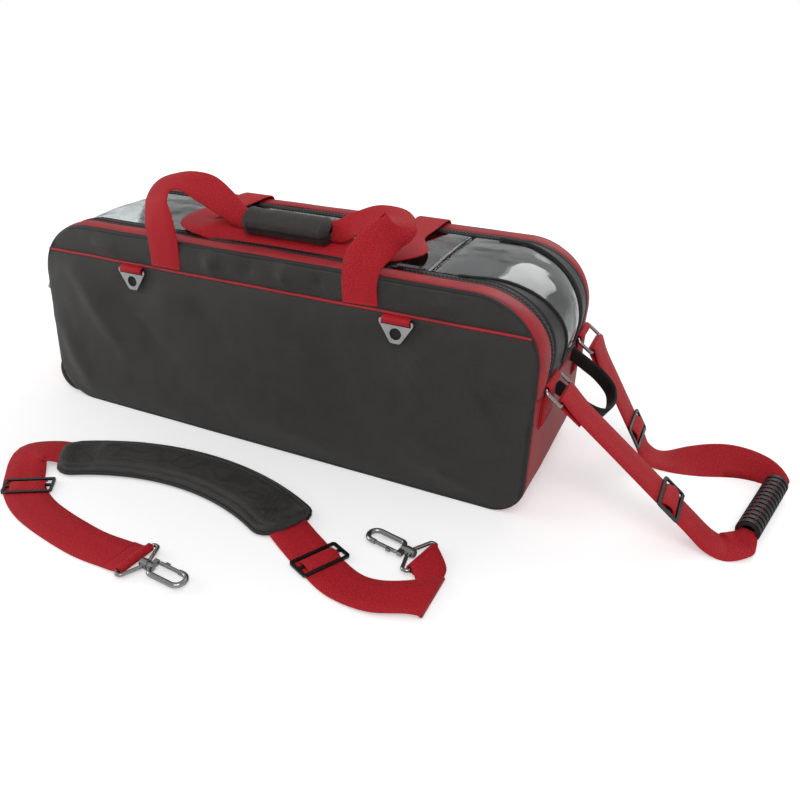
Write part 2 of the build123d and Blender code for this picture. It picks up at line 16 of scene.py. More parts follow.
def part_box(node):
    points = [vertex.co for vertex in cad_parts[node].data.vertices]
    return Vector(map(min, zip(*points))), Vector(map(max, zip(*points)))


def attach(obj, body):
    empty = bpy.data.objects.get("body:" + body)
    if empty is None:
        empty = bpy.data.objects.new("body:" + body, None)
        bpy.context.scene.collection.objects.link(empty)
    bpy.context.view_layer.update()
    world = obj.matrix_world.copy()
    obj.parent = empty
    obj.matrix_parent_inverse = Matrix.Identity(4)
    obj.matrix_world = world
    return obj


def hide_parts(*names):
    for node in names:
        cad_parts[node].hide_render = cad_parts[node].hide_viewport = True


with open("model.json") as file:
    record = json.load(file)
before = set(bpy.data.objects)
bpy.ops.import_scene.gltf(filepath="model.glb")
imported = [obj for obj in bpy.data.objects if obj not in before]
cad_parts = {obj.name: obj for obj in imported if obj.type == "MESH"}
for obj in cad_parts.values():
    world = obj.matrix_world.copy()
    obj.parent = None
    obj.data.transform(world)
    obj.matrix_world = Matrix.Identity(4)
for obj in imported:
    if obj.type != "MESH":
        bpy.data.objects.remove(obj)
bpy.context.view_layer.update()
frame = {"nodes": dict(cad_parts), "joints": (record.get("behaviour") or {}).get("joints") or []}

bl_info = {
    "name": "Bowling Tote",
    "version": (1, 0, 0),
    "blender": (4, 5, 0),
    "location": "View3D > Sidebar > Tote",
    "description": "Builds the soft parts and finishes of a wheeled bowling tote",
    "category": "Add Mesh",
}


def mm(*values):
    """Millimetres to metres: one number, or a point."""
    return values[0] / 1000 if len(values) == 1 else Vector(values) / 1000


# Body of the bag, read from the frame
piping_low, piping_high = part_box("front_edge_piping")
half_length = piping_high.x
top_height = piping_high.z
front_face = piping_low.y
back_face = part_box("back_edge_piping")[1].y
gusset_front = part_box("front_gusset")[0].y
tape_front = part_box("zipper_tape")[0].y
window_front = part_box("clear_window")[0].y
end_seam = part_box("zipper_tape")[0].z
seam_low, seam_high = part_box("front_seam_piping")
seam_height = (seam_low.z + seam_high.z) / 2
flap_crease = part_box("clear_window")[1].x
flap_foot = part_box("flap_binding")[0].z
housing_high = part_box("front_wheel_housing")[1]
top_radius = mm(78)
left_foot_radius = mm(55)
right_foot_radius = mm(40)

# ---------------------------------------------------------------- settings


def colour(name, description, default):
    return FloatVectorProperty(name=name, description=description, default=default,
                               subtype="COLOR", size=3, min=0, max=1)


def size(name, description, default):
    return FloatProperty(name=name, description=description, default=default, unit="LENGTH", min=0)


class ToteCloth(bpy.types.PropertyGroup):
    """Colours of the cloth, webbing and hardware."""
    black: colour("Polyester", "Black woven polyester of the panels", (0.024, 0.0225, 0.0195))
    red: colour("Gusset", "Red woven polyester of the gusset and ends", (0.40, 0.012, 0.020))
    webbing: colour("Webbing", "Red webbing of the handles and straps", (0.56, 0.012, 0.022))
    trim: colour("Trim", "Black webbing, binding and zipper tape", (0.012, 0.012, 0.012))
    metal: colour("Metal", "Rings and snap hooks", (0.46, 0.47, 0.47))
    dark_metal: colour("Dark metal", "Slide adjusters and zipper sliders", (0.10, 0.105, 0.11))


class ToteShape(bpy.types.PropertyGroup):
    """Sizes of the soft parts."""
    panel_puff: size("Panel puff", "How far the front panel stands out at its middle", 0.005)
    crown: size("Crown", "How far the film stands above the zips", 0.003)
    end_bulge: size("End bulge", "How far the top corner bulges at the strap end", 0.009)
    webbing_gauge: size("Webbing gauge", "Thickness of the webbing", 0.0022)
    piping_radius: size("Piping radius", "Radius of the black edge piping", 0.0029)
    film_gauge: size("Film gauge", "Thickness of the clear film", 0.0005)


def cloth():
    return bpy.context.scene.tote_cloth


def shape():
    return bpy.context.scene.tote_shape


# ---------------------------------------------------------------- shader groups


def new_group(name, inputs, outputs):
    """A shader node group with its sockets, and its two end nodes."""
    group = bpy.data.node_groups.new(name, "ShaderNodeTree")
    for label, kind, default in inputs:
        socket = group.interface.new_socket(label, in_out="INPUT", socket_type=kind)
        if default is not None:
            socket.default_value = default
    for label, kind in outputs:
        group.interface.new_socket(label, in_out="OUTPUT", socket_type=kind)
    return group, group.nodes.new("NodeGroupInput"), group.nodes.new("NodeGroupOutput")


def math_node(tree, operation, first, second=None):
    """A math node fed by sockets or numbers; gives its output."""
    node = tree.nodes.new("ShaderNodeMath")
    node.operation = operation
    for socket, value in zip(node.inputs, (first, second)):
        if value is None:
            continue
        if isinstance(value, bpy.types.NodeSocket):
            tree.links.new(value, socket)
        else:
            socket.default_value = value
    return node.outputs[0]


def noise_node(tree, vector, scale, detail=3.0):
    node = tree.nodes.new("ShaderNodeTexNoise")
    node.inputs["Detail"].default_value = detail
    tree.links.new(vector, node.inputs["Vector"])
    if isinstance(scale, bpy.types.NodeSocket):
        tree.links.new(scale, node.inputs["Scale"])
    else:
        node.inputs["Scale"].default_value = scale
    return node.outputs["Fac"]


def build_weave():
    """Over-and-under threads across two axes, with slubs: Height and Tone."""
    group, source, target = new_group(
        "Weave", [("Vector", "NodeSocketVector", None), ("Threads", "NodeSocketFloat", 4000.0)],
        [("Height", "NodeSocketFloat"), ("Tone", "NodeSocketFloat")])
    split = group.nodes.new("ShaderNodeSeparateXYZ")
    group.links.new(source.outputs["Vector"], split.inputs[0])
    # X and Y are summed so that one group serves panels that face either way
    across = math_node(group, "ADD", split.outputs[0], split.outputs[1])
    waves = []
    for axis in (across, split.outputs[2]):
        waves.append(math_node(group, "SINE", math_node(group, "MULTIPLY", axis, source.outputs["Threads"])))
    woven = math_node(group, "MULTIPLY", waves[0], waves[1])
    slub = noise_node(group, source.outputs["Vector"], 260.0)
    height = math_node(group, "ADD", math_node(group, "MULTIPLY", woven, 0.5), slub)
    mottle = noise_node(group, source.outputs["Vector"], 38.0)
    tone = math_node(group, "ADD", math_node(group, "MULTIPLY", mottle, 0.6),
                     math_node(group, "MULTIPLY", slub, 0.4))
    group.links.new(height, target.inputs["Height"])
    group.links.new(tone, target.inputs["Tone"])
    return group


def build_twill():
    """Diagonal ribs, lengthwise yarns and fuzz along a strap laid out in metres: Height and Tone."""
    group, source, target = new_group(
        "Twill", [("Vector", "NodeSocketVector", None), ("Ribs", "NodeSocketFloat", 1900.0)],
        [("Height", "NodeSocketFloat"), ("Tone", "NodeSocketFloat")])
    split = group.nodes.new("ShaderNodeSeparateXYZ")
    group.links.new(source.outputs["Vector"], split.inputs[0])
    folded = math_node(group, "PINGPONG", split.outputs[1], 0.006)
    slant = math_node(group, "ADD", split.outputs[0], folded)
    ribs = math_node(group, "SINE", math_node(group, "MULTIPLY", slant, source.outputs["Ribs"]))
    yarns = math_node(group, "SINE", math_node(group, "MULTIPLY", split.outputs[1], 4200.0))
    fuzz = noise_node(group, source.outputs["Vector"], 420.0)
    height = math_node(group, "ADD", math_node(group, "MULTIPLY", ribs, 0.5),
                       math_node(group, "MULTIPLY", yarns, 0.2))
    tone = math_node(group, "ADD", math_node(group, "MULTIPLY", ribs, 0.14),
                     math_node(group, "MULTIPLY", fuzz, 0.9))
    group.links.new(math_node(group, "ADD", height, fuzz), target.inputs["Height"])
    group.links.new(tone, target.inputs["Tone"])
    return group


def build_wear():
    """Handling marks and dust, as a mask from 0 to 1."""
    group, source, target = new_group(
        "Wear", [("Vector", "NodeSocketVector", None), ("Scale", "NodeSocketFloat", 20.0)],
        [("Mask", "NodeSocketFloat")])
    broad = noise_node(group, source.outputs["Vector"], source.outputs["Scale"], 5.0)
    fine = noise_node(group, source.outputs["Vector"],
                      math_node(group, "MULTIPLY", source.outputs["Scale"], 9.0), 4.0)
    both = math_node(group, "MULTIPLY", broad, fine)
    lifted = math_node(group, "MULTIPLY", math_node(group, "SUBTRACT", both, 0.18), 4.0)
    clamped = math_node(group, "MINIMUM", math_node(group, "MAXIMUM", lifted, 0.0), 1.0)
    group.links.new(clamped, target.inputs["Mask"])
    return group


# ---------------------------------------------------------------- materials


def shade(rgb, factor):
    return tuple(min(c * factor, 1) for c in rgb) + (1.0,)


class Finish:
    """A material under construction: its tree, its Principled shader and a texture vector."""

    def __init__(self, name, coordinates="Object"):
        self.material = bpy.data.materials.new(name)
        self.material.use_nodes = True
        self.tree = self.material.node_tree
        self.shader = self.tree.nodes["Principled BSDF"]
        self.vector = self.tree.nodes.new("ShaderNodeTexCoord").outputs[coordinates]

    def group(self, name, **values):
        node = self.tree.nodes.new("ShaderNodeGroup")
        node.node_tree = bpy.data.node_groups[name]
        self.tree.links.new(self.vector, node.inputs["Vector"])
        for label, value in values.items():
            node.inputs[label].default_value = value
        return node

    def ramp(self, socket, target, low, high, start=0.3, end=0.75):
        """Feed a shader socket from a mask through a two-stop ramp."""
        node = self.tree.nodes.new("ShaderNodeValToRGB")
        node.color_ramp.elements[0].position = start
        node.color_ramp.elements[1].position = end
        node.color_ramp.elements[0].color = low
        node.color_ramp.elements[1].color = high
        self.tree.links.new(socket, node.inputs[0])
        self.tree.links.new(node.outputs[0], self.shader.inputs[target])

    def bump(self, socket, depth, strength=1.0):
        node = self.tree.nodes.new("ShaderNodeBump")
        node.inputs["Distance"].default_value = depth
        node.inputs["Strength"].default_value = strength
        self.tree.links.new(socket, node.inputs["Height"])
        self.tree.links.new(node.outputs[0], self.shader.inputs["Normal"])

    def set(self, **values):
        for label, value in values.items():
            self.shader.inputs[label.replace("_", " ")].default_value = value
        return self


def grey(level):
    return (level, level, level, 1.0)


def woven(name, rgb, threads, depth, sheen):
    """Woven polyester."""
    finish = Finish(name)
    weave = finish.group("Weave", Threads=threads)
    finish.ramp(weave.outputs["Tone"], "Base Color", shade(rgb, 0.72), shade(rgb, 1.35))
    finish.ramp(weave.outputs["Tone"], "Roughness", grey(0.38), grey(0.6))
    finish.bump(weave.outputs["Height"], depth, 0.6)
    finish.set(Sheen_Weight=sheen, Sheen_Roughness=0.45, Specular_IOR_Level=0.5)
    return finish.material


def webbing_cloth(name, rgb, depth=0.00022):
    """Twill webbing, laid along the strap's own length."""
    finish = Finish(name, "UV")
    twill = finish.group("Twill")
    finish.ramp(twill.outputs["Tone"], "Base Color", shade(rgb, 0.66), shade(rgb, 1.22))
    finish.bump(twill.outputs["Height"], depth, 0.7)
    finish.set(Roughness=0.66, Sheen_Weight=0.05, Sheen_Roughness=0.4, Specular_IOR_Level=0.3)
    return finish.material


def metal_finish(name, rgb, low, high, scale=26.0):
    """Plated metal with faint handling marks."""
    finish = Finish(name)
    wear = finish.group("Wear", Scale=scale)
    finish.ramp(wear.outputs["Mask"], "Base Color", shade(rgb, 1.0), shade(rgb, 0.74), 0.0, 1.0)
    finish.ramp(wear.outputs["Mask"], "Roughness", grey(low), grey(high), 0.0, 1.0)
    finish.bump(wear.outputs["Mask"], 0.00004, 0.5)
    finish.set(Metallic=1.0)
    return finish.material


def moulded(name, rgb, rough, grain, depth, coat=0.0):
    """Moulded plastic, rubber or foam, with its own grain."""
    finish = Finish(name)
    wear = finish.group("Wear", Scale=grain)
    finish.ramp(wear.outputs["Mask"], "Base Color", shade(rgb, 0.85), shade(rgb, 1.5), 0.0, 1.0)
    finish.ramp(wear.outputs["Mask"], "Roughness", grey(rough), grey(min(rough + 0.2, 1)), 0.0, 1.0)
    finish.bump(wear.outputs["Mask"], depth, 0.5)
    finish.set(Coat_Weight=coat)
    return finish.material


def clear_film(name):
    """Glossy clear vinyl: mostly see-through, with a grey cast and sharp reflections."""
    finish = Finish(name)
    wear = finish.group("Wear", Scale=9.0)
    finish.ramp(wear.outputs["Mask"], "Roughness", grey(0.025), grey(0.14), 0.0, 1.0)
    finish.bump(noise_node(finish.tree, finish.vector, 11.0, 2.0), 0.006, 0.5)
    finish.set(Base_Color=(0.80, 0.83, 0.84, 1.0), Transmission_Weight=1.0, IOR=1.45)
    return finish.material


def build_materials():
    """Every finish, by its plain name."""
    colours = cloth()
    build_weave()
    build_twill()
    build_wear()
    woven("black_polyester", colours.black, 4200.0, 0.0006, 0.12)
    woven("black_binding", colours.trim, 5200.0, 0.0002, 0.06)
    woven("red_polyester", colours.red, 4200.0, 0.00022, 0.05)
    webbing_cloth("red_webbing_cloth", colours.webbing)
    webbing_cloth("black_webbing_cloth", colours.trim)
    metal_finish("nickel_plate", colours.metal, 0.16, 0.34)
    metal_finish("gunmetal_plate", colours.dark_metal, 0.24, 0.42)
    metal_finish("axle_steel", colours.metal, 0.28, 0.5)
    moulded("wheel_rubber", (0.018, 0.018, 0.018), 0.45, 30.0, 0.0001)
    moulded("wheel_plastic", (0.06, 0.06, 0.063), 0.38, 22.0, 0.00006)
    moulded("housing_plastic_grain", (0.014, 0.014, 0.014), 0.4, 120.0, 0.00012)
    moulded("grip_rubber_grain", (0.014, 0.014, 0.015), 0.42, 150.0, 0.0001)
    moulded("cradle_foam", (0.02, 0.02, 0.02), 0.9, 300.0, 0.0006)
    moulded("base_board_fibre", (0.03, 0.028, 0.026), 0.75, 60.0, 0.0002)
    moulded("zip_plastic", (0.01, 0.01, 0.01), 0.32, 40.0, 0.00005)
    moulded("red_thread", colours.webbing, 0.5, 200.0, 0.00005)
    moulded("black_thread", (0.03, 0.03, 0.03), 0.5, 200.0, 0.00005)
    clear_film("clear_vinyl")


# ---------------------------------------------------------------- mesh helpers

floor_gap = mm(0.2)


def add_piece(name, verts, faces, material, body, uvs=None, gauge=0.0):
    """A mesh object with its finish that rides on a body; gauge thickens an open sheet."""
    mesh = bpy.data.meshes.new(name)
    mesh.from_pydata([tuple(v) for v in verts], [], faces)
    mesh.validate()
    if uvs:
        layer = mesh.uv_layers.new(name="UVMap")
        for loop in mesh.loops:
            layer.data[loop.index].uv = uvs[loop.vertex_index]
    mesh.polygons.foreach_set("use_smooth", [True] * len(mesh.polygons))
    mesh.materials.append(bpy.data.materials[material])
    piece = bpy.data.objects.new(name, mesh)
    bpy.context.scene.collection.objects.link(piece)
    if gauge:
        thicken = piece.modifiers.new("gauge", "SOLIDIFY")
        thicken.thickness = gauge
        thicken.offset = -1
    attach(piece, body)
    return piece


def grid_faces(rows, columns, wrap_rows=False, wrap_columns=False):
    """Quads over a grid of vertices stored row by row."""
    faces = []
    for i in range(rows if wrap_rows else rows - 1):
        for j in range(columns if wrap_columns else columns - 1):
            i2, j2 = (i + 1) % rows, (j + 1) % columns
            faces.append((i * columns + j, i2 * columns + j, i2 * columns + j2, i * columns + j2))
    return faces


def smooth_path(points, steps):
    """A Catmull-Rom curve through the points."""
    padded = [points[0] * 2 - points[1], *points, points[-1] * 2 - points[-2]]
    path = []
    for a, b, c, d in zip(padded, padded[1:], padded[2:], padded[3:]):
        for k in range(steps):
            t = k / steps
            path.append(0.5 * (2 * b + (c - a) * t + (2 * a - 5 * b + 4 * c - d) * t * t
                               + (3 * b - a - 3 * c + d) * t ** 3))
    return path + [points[-1].copy()]


def ribbon(name, stations, width, material, body, gauge=None, steps=9, widths=None,
           slanted=False):
    """A flat strap along stations of (middle, direction across), woven along its length.

    Across directions are squared to the strap, unless slanted keeps them, as at a slanted fold.
    """
    gauge = gauge or shape().webbing_gauge
    middles = smooth_path([Vector(m) for m, _ in stations], steps)
    acrosses = smooth_path([Vector(a).normalized() for _, a in stations], steps)
    spans = smooth_path([Vector((w, 0, 0)) for w in (widths or [width] * len(stations))], steps)
    half = gauge / 2
    verts, uvs, run = [], [], 0.0
    for i, (middle, across, span) in enumerate(zip(middles, acrosses, spans)):
        ahead = middles[min(i + 1, len(middles) - 1)] - middles[max(i - 1, 0)]
        along = ahead.normalized()
        square = across - along * across.dot(along)
        side = across if slanted else square.normalized()
        face = along.cross(side).normalized()
        reach = span.x / 2
        run += (middle - middles[i - 1]).length if i else 0
        ring = [(-reach, 0), (-reach + half, half), (-reach / 3, half), (reach / 3, half),
                (reach - half, half), (reach, 0), (reach - half, -half), (reach / 3, -half),
                (-reach / 3, -half), (-reach + half, -half)]
        for u, w in ring:
            corner = middle + side * u + face * w
            corner.z = max(corner.z, floor_gap)
            verts.append(corner)
            uvs.append((run, u))
    count = len(ring)
    faces = grid_faces(len(middles), count, wrap_columns=True)
    faces.append(tuple(range(count))[::-1])
    faces.append(tuple(range(len(verts) - count, len(verts))))
    return add_piece(name, verts, faces, material, body, uvs)


def tube(name, path, radius, material, body, closed=False, sides=10):
    """A round cord along a path."""
    verts = []
    up = Vector((0, 1, 0))
    count = len(path)
    for i, point in enumerate(path):
        before = path[i - 1] if closed or i else path[0]
        after = path[(i + 1) % count] if closed or i < count - 1 else path[-1]
        along = (after - before).normalized()
        side = along.cross(up if abs(along.dot(up)) < 0.9 else Vector((0, 0, 1))).normalized()
        face = side.cross(along)
        for k in range(sides):
            turn = 2 * pi * k / sides
            verts.append(point + side * radius * cos(turn) + face * radius * sin(turn))
    faces = grid_faces(count, sides, wrap_rows=closed, wrap_columns=True)
    if not closed:
        faces.append(tuple(range(sides))[::-1])
        faces.append(tuple(range(len(verts) - sides, len(verts))))
    return add_piece(name, verts, faces, material, body)


def stitching(name, runs, material, body, pitch=0.0036, thread=0.00045, cover=0.66):
    """Rows of sewn thread: each run is a list of (point, face direction)."""
    verts, faces = [], []
    for run in runs:
        lengths = [0.0]
        for (a, _), (b, _) in zip(run, run[1:]):
            lengths.append(lengths[-1] + (b - a).length)

        def at(distance):
            for i in range(len(run) - 1):
                if distance <= lengths[i + 1] or i == len(run) - 2:
                    t = (distance - lengths[i]) / max(lengths[i + 1] - lengths[i], 1e-9)
                    return run[i][0].lerp(run[i + 1][0], t), run[i][1].lerp(run[i + 1][1], t)

        for k in range(int(lengths[-1] / pitch)):
            (start, face), (end, _) = at(k * pitch), at(k * pitch + pitch * cover)
            if (end - start).length < 1e-6:
                continue
            side = (end - start).cross(face).normalized() * thread
            lift = face.normalized() * thread
            middle = (start + end) / 2 + lift
            base = len(verts)
            verts += [start, end, middle + side, middle - side, middle + lift]
            faces += [(base, base + 2, base + 4), (base + 2, base + 1, base + 4),
                      (base + 1, base + 3, base + 4), (base + 3, base, base + 4)]
    return add_piece(name, verts, faces, material, body)


# ---------------------------------------------------------------- side view of the bag

arc_middles = [
    (-half_length + top_radius, top_height - top_radius, top_radius, pi),
    (half_length - top_radius, top_height - top_radius, top_radius, pi / 2),
    (half_length - right_foot_radius, right_foot_radius, right_foot_radius, 0.0),
    (-half_length + left_foot_radius, left_foot_radius, left_foot_radius, -pi / 2),
]


def outline_runs():
    """Straight runs and arcs of the side view, clockwise from the left foot, with lengths."""
    runs = []
    for i, (x, z, radius, start) in enumerate(arc_middles):
        before_x, before_z, before_radius, before_start = arc_middles[i - 1]
        # the run before this arc leaves the last arc where that one ended
        leave = before_start - pi / 2
        a = (before_x + before_radius * cos(leave), before_z + before_radius * sin(leave))
        b = (x + radius * cos(start), z + radius * sin(start))
        runs.append(("line", a, b, start, hypot(b[0] - a[0], b[1] - a[1])))
        runs.append(("arc", (x, z), radius, start, radius * pi / 2))
    return runs


outline = outline_runs()
outline_length = sum(run[-1] for run in outline)


def outline_at(distance, out=0.0):
    """Point (x, z) and outward direction at a distance round the side view."""
    distance %= outline_length
    for kind, a, b, start, length in outline:
        if distance <= length:
            break
        distance -= length
    if kind == "line":
        t = distance / length
        x, z, turn = a[0] + (b[0] - a[0]) * t, a[1] + (b[1] - a[1]) * t, start
    else:
        turn = start - distance / b
        x, z = a[0] + b * cos(turn), a[1] + b * sin(turn)
    return x + out * cos(turn), z + out * sin(turn), cos(turn), sin(turn)


left_side_length = outline[0][-1]
left_end_height = left_foot_radius
seam_left = end_seam - left_end_height
top_start = left_side_length + outline[1][-1]
right_corner = top_start + outline[2][-1]
right_side = right_corner + outline[3][-1]
seam_right = right_side + (top_height - top_radius - end_seam)
flap_start = top_start + (flap_crease + half_length - top_radius)
flap_end = right_side + (top_height - top_radius - flap_foot)
foot_right = right_side + outline[4][-1]


def ripple(x, y, z, scale, seed):
    """Smooth unevenness of cloth, from -1 to 1."""
    return noise.noise(Vector((x * scale + seed, y * scale, z * scale)))


def corner_bulge(distance, y):
    """The soft corner at the strap end stands out between its pipings."""
    along = (distance - (right_side - mm(25))) / mm(52)
    across = max(cos(pi * y / (2 * abs(gusset_front))), 0) ** 0.5
    return shape().end_bulge * exp(-along * along) * across


def shell_point(distance, y, lift=0.0, wave=0.0012, seed=0.0):
    """A point of the bag's skin at a distance round it and a place across it."""
    x, z, nx, nz = outline_at(distance)
    rise = lift + corner_bulge(distance, y) + wave * ripple(distance, y, 0, 16, seed)
    return Vector((x + nx * rise, y, max(z + nz * rise, floor_gap)))


def shell_strip(name, start, end, edges, material, body, lift=None, gauge=0.0014,
                across=8, pitch=0.007, wave=0.0012, seed=0.0):
    """A strip of skin round the bag; edges(distance) gives its two y values."""
    rows = int((end - start) / pitch) + 1
    verts, uvs = [], []
    for i in range(rows + 1):
        distance = start + (end - start) * i / rows
        low, high = edges(distance)
        for j in range(across + 1):
            t = j / across
            y = low + (high - low) * t
            rise = lift(distance, y, t) if lift else 0.0
            verts.append(shell_point(distance, y, rise, wave, seed))
            uvs.append((distance, y))
    faces = grid_faces(rows + 1, across + 1)
    return add_piece(name, verts, faces, material, body, uvs, gauge)


# ---------------------------------------------------------------- panels

# creases of the front cloth: x and z of both ends, width and depth, in millimetres
front_creases = [
    ((-290, 200), (-215, 90), 15, 2.0), ((-250, 205), (-120, 70), 17, -1.7),
    ((-120, 205), (-20, 110), 20, -1.5), ((-330, 120), (-280, 20), 14, 1.8),
    ((60, 200), (150, 60), 24, -1.6), ((170, 190), (230, 100), 15, 1.7),
    ((250, 190), (320, 60), 16, -2.0), ((-60, 60), (120, 30), 18, 1.6),
    ((-200, 50), (-40, 25), 15, -1.5), ((180, 60), (300, 20), 15, 1.8),
]
crease_gain = 3.2
upper_creases = [
    ((-70, 258), (-64, 224), 8, 1.8), ((-20, 258), (-12, 224), 9, -1.5),
    ((30, 258), (42, 224), 7, 2.0), ((76, 256), (84, 224), 8, -1.8),
    ((-260, 250), (-200, 226), 10, 1.6), ((220, 256), (250, 226), 12, 1.4),
]


def crease_depth(x, z, creases):
    """How far folds push the cloth at a point, in metres."""
    depth = 0.0
    for (ax, az), (bx, bz), width, height in creases:
        dx, dz = (bx - ax) / 1000, (bz - az) / 1000
        px, pz = x - ax / 1000, z - az / 1000
        t = min(max((px * dx + pz * dz) / (dx * dx + dz * dz), 0), 1)
        away = hypot(px - dx * t, pz - dz * t) / (width / 1000)
        depth += height / 1000 * exp(-away * away) * sin(pi * min(max(t, 0.12), 0.88))
    return depth


triangle_bars = [Vector(joint["pos_m"]) for joint in frame["joints"] if "triangle" in joint["name"]]


def flat_behind_rings(x, z):
    """1 on free cloth, down to 0 where the cloth lies flat behind a triangular ring."""
    free = 1.0
    for bar in triangle_bars:
        away_x, away_z = (x - bar.x) / mm(36), (z - bar.z + mm(16)) / mm(36)
        free *= 1 - exp(-(away_x * away_x + away_z * away_z) ** 1.5)
    return free


def keep_inside(x, z, inset):
    """The point, or the nearest one on the side view's rounded corners."""
    for middle_x, middle_z, radius, start in arc_middles:
        turn = start - pi / 4
        dx, dz = x - middle_x, z - middle_z
        outside = dx * cos(turn) >= 0 and dz * sin(turn) >= 0
        if outside and hypot(dx, dz) > radius - inset:
            shrink = (radius - inset) / hypot(dx, dz)
            return middle_x + dx * shrink, middle_z + dz * shrink, True
    return x, z, False


def panel(name, low, high, y, outward, creases, puff, replaced):
    """A soft cloth panel between two heights, within the side view."""
    inset = mm(2.4)
    cell = mm(5)
    columns = int(2 * (half_length - inset) / cell)
    rows = max(int((high - low) / cell), 4)
    verts, moved = [], []
    for i in range(rows + 1):
        for j in range(columns + 1):
            x = -half_length + inset + 2 * (half_length - inset) * j / columns
            z = low + (high - low) * i / rows
            x, z, snapped = keep_inside(x, z, inset)
            moved.append(snapped)
            edge_x = min(1, (half_length - abs(x)) / mm(70))
            edge_z = max(min(1, min(z - low, high - z) / mm(45)), 0)
            body = (edge_x * (2 - edge_x)) * (edge_z * (2 - edge_z))
            stand = puff * body + (crease_gain * crease_depth(x, z, creases)
                                   + 0.0011 * ripple(x, y, z, 14, 3.0)
                                   + 0.0008 * ripple(x, y, z, 55, 7.0)) * min(1, edge_z * 2 + 0.15)
            if outward < 0:
                stand *= flat_behind_rings(x, z)
            verts.append(Vector((x, y + outward * stand, z)))
    faces = [f for f in grid_faces(rows + 1, columns + 1) if not all(moved[v] for v in f)]
    if outward > 0:
        faces = [f[::-1] for f in faces]
    piece = add_piece(name, verts, faces, "black_polyester", "bag", gauge=0.0016)
    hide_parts(*replaced)
    return piece


class TOTE_OT_panels(bpy.types.Operator):
    """Build the front panel in two parts and the back panel"""
    bl_idname = "tote.panels"
    bl_label = "Panels"

    def execute(self, context):
        puff = shape().panel_puff
        inset = mm(2.4)
        panel("front_lower_cloth", inset, seam_height, front_face + mm(0.6), -1, front_creases, puff,
              ["front_lower_panel"])
        panel("front_upper_cloth", seam_height, top_height - inset, front_face + mm(0.6), -1,
              upper_creases, mm(2), ["front_upper_band"])
        mirrored = [((-a[0], a[1]), (-b[0], b[1]), w, d) for a, b, w, d in front_creases]
        panel("back_cloth", inset, top_height - inset, back_face - mm(0.6), 1, mirrored, puff,
              ["back_panel"])
        return {"FINISHED"}


class TOTE_OT_piping(bpy.types.Operator):
    """Build the black piping round both panels and the red piping over the front seam"""
    bl_idname = "tote.piping"
    bl_label = "Piping"

    def execute(self, context):
        radius = shape().piping_radius
        for name, y in (("front_edge_piping", front_face + radius * 0.4),
                        ("back_edge_piping", back_face - radius * 0.4)):
            path = []
            for i in range(260):
                x, z, _, _ = outline_at(outline_length * i / 260, -radius)
                wobble = 0.0004 * ripple(x, y, z, 30, 1.0)
                path.append(Vector((x, y + wobble, z)))
            cord = tube(name + "_cord", path, radius, "black_binding", "bag", closed=True)
            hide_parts(name)
        runs = 120
        start, end = seam_low.x + mm(3), seam_high.x - mm(3)
        path = [Vector((start + (end - start) * i / runs,
                        seam_low.y + mm(1.7) + 0.0004 * ripple(i, 0, 0, 0.2, 5.0),
                        seam_height + 0.0006 * ripple(i, 0, 0, 0.11, 2.0))) for i in range(runs + 1)]
        red = tube("front_seam_cord", path, mm(1.9), "red_polyester", "bag")
        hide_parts("front_seam_piping")
        return {"FINISHED"}


class TOTE_OT_gussets(bpy.types.Operator):
    """Build the red gussets and the red ends of the bag"""
    bl_idname = "tote.gussets"
    bl_label = "Gussets and ends"

    def execute(self, context):
        width = abs(gusset_front - tape_front)
        for name, sign, seed in (("front_gusset", -1, 0.0), ("back_gusset", 1, 9.0)):
            outer = sign * (abs(gusset_front) + mm(1))

            def edges(distance, outer=outer, sign=sign):
                corner = exp(-((distance - right_side) / mm(60)) ** 2)
                inner = sign * (abs(tape_front) - corner * mm(4))
                return (outer, inner) if sign < 0 else (inner, outer)

            def fold(distance, y, t):
                return mm(1.6) * sin(pi * t) ** 0.7

            strip = shell_strip(name + "_cloth", seam_left, seam_right, edges, "red_polyester", "bag",
                                fold, across=10, wave=0.0014, seed=seed)
            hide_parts(name)
        reach = abs(gusset_front) + mm(1)

        def end_lift(distance, y, t):
            return mm(1.5) * sin(pi * t)

        right = shell_strip("right_end_cloth", seam_right, foot_right + outline[5][-1],
                            lambda d: (-reach, reach), "red_polyester", "bag",
                            end_lift, across=30, wave=0.0008, seed=20.0)
        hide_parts("right_end_panel")
        upper = shell_strip("left_end_cloth", housing_high.z - left_end_height, seam_left,
                            lambda d: (-reach, reach), "red_polyester", "bag",
                            end_lift, across=30, wave=0.0008, seed=30.0)
        inner = abs(housing_high.y)
        lower = shell_strip("left_foot_cloth", -left_foot_radius * pi / 2,
                            housing_high.z - left_end_height, lambda d: (-inner, inner),
                            "red_polyester", "bag", None, across=24, wave=0.0006, seed=40.0)
        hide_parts("left_end_panel")
        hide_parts("left_end_panel")
        return {"FINISHED"}


# ---------------------------------------------------------------- clear top and its zip


def film_half(distance):
    """Half width of the clear film: it narrows to a tongue at the strap end."""
    full = abs(window_front)
    taper = min(max((distance - (right_corner - mm(30))) / (flap_end - right_corner + mm(12)), 0), 1)
    return full - (full - mm(30)) * taper ** 1.35


def film_lift(distance, y, t):
    """The film's crown, with slack waves across it; it lies flat at the flap's crease."""
    crown = shape().crown * sin(pi * t) ** 0.8
    near_crease = min(abs(distance - flap_start) / mm(18), 1)
    slack = mm(2.6) * ripple(distance, y, 0, 9, 50.0) + mm(1.1) * ripple(distance, y, 0, 24, 61.0)
    return (crown + slack * sin(pi * t)) * near_crease - mm(0.8)


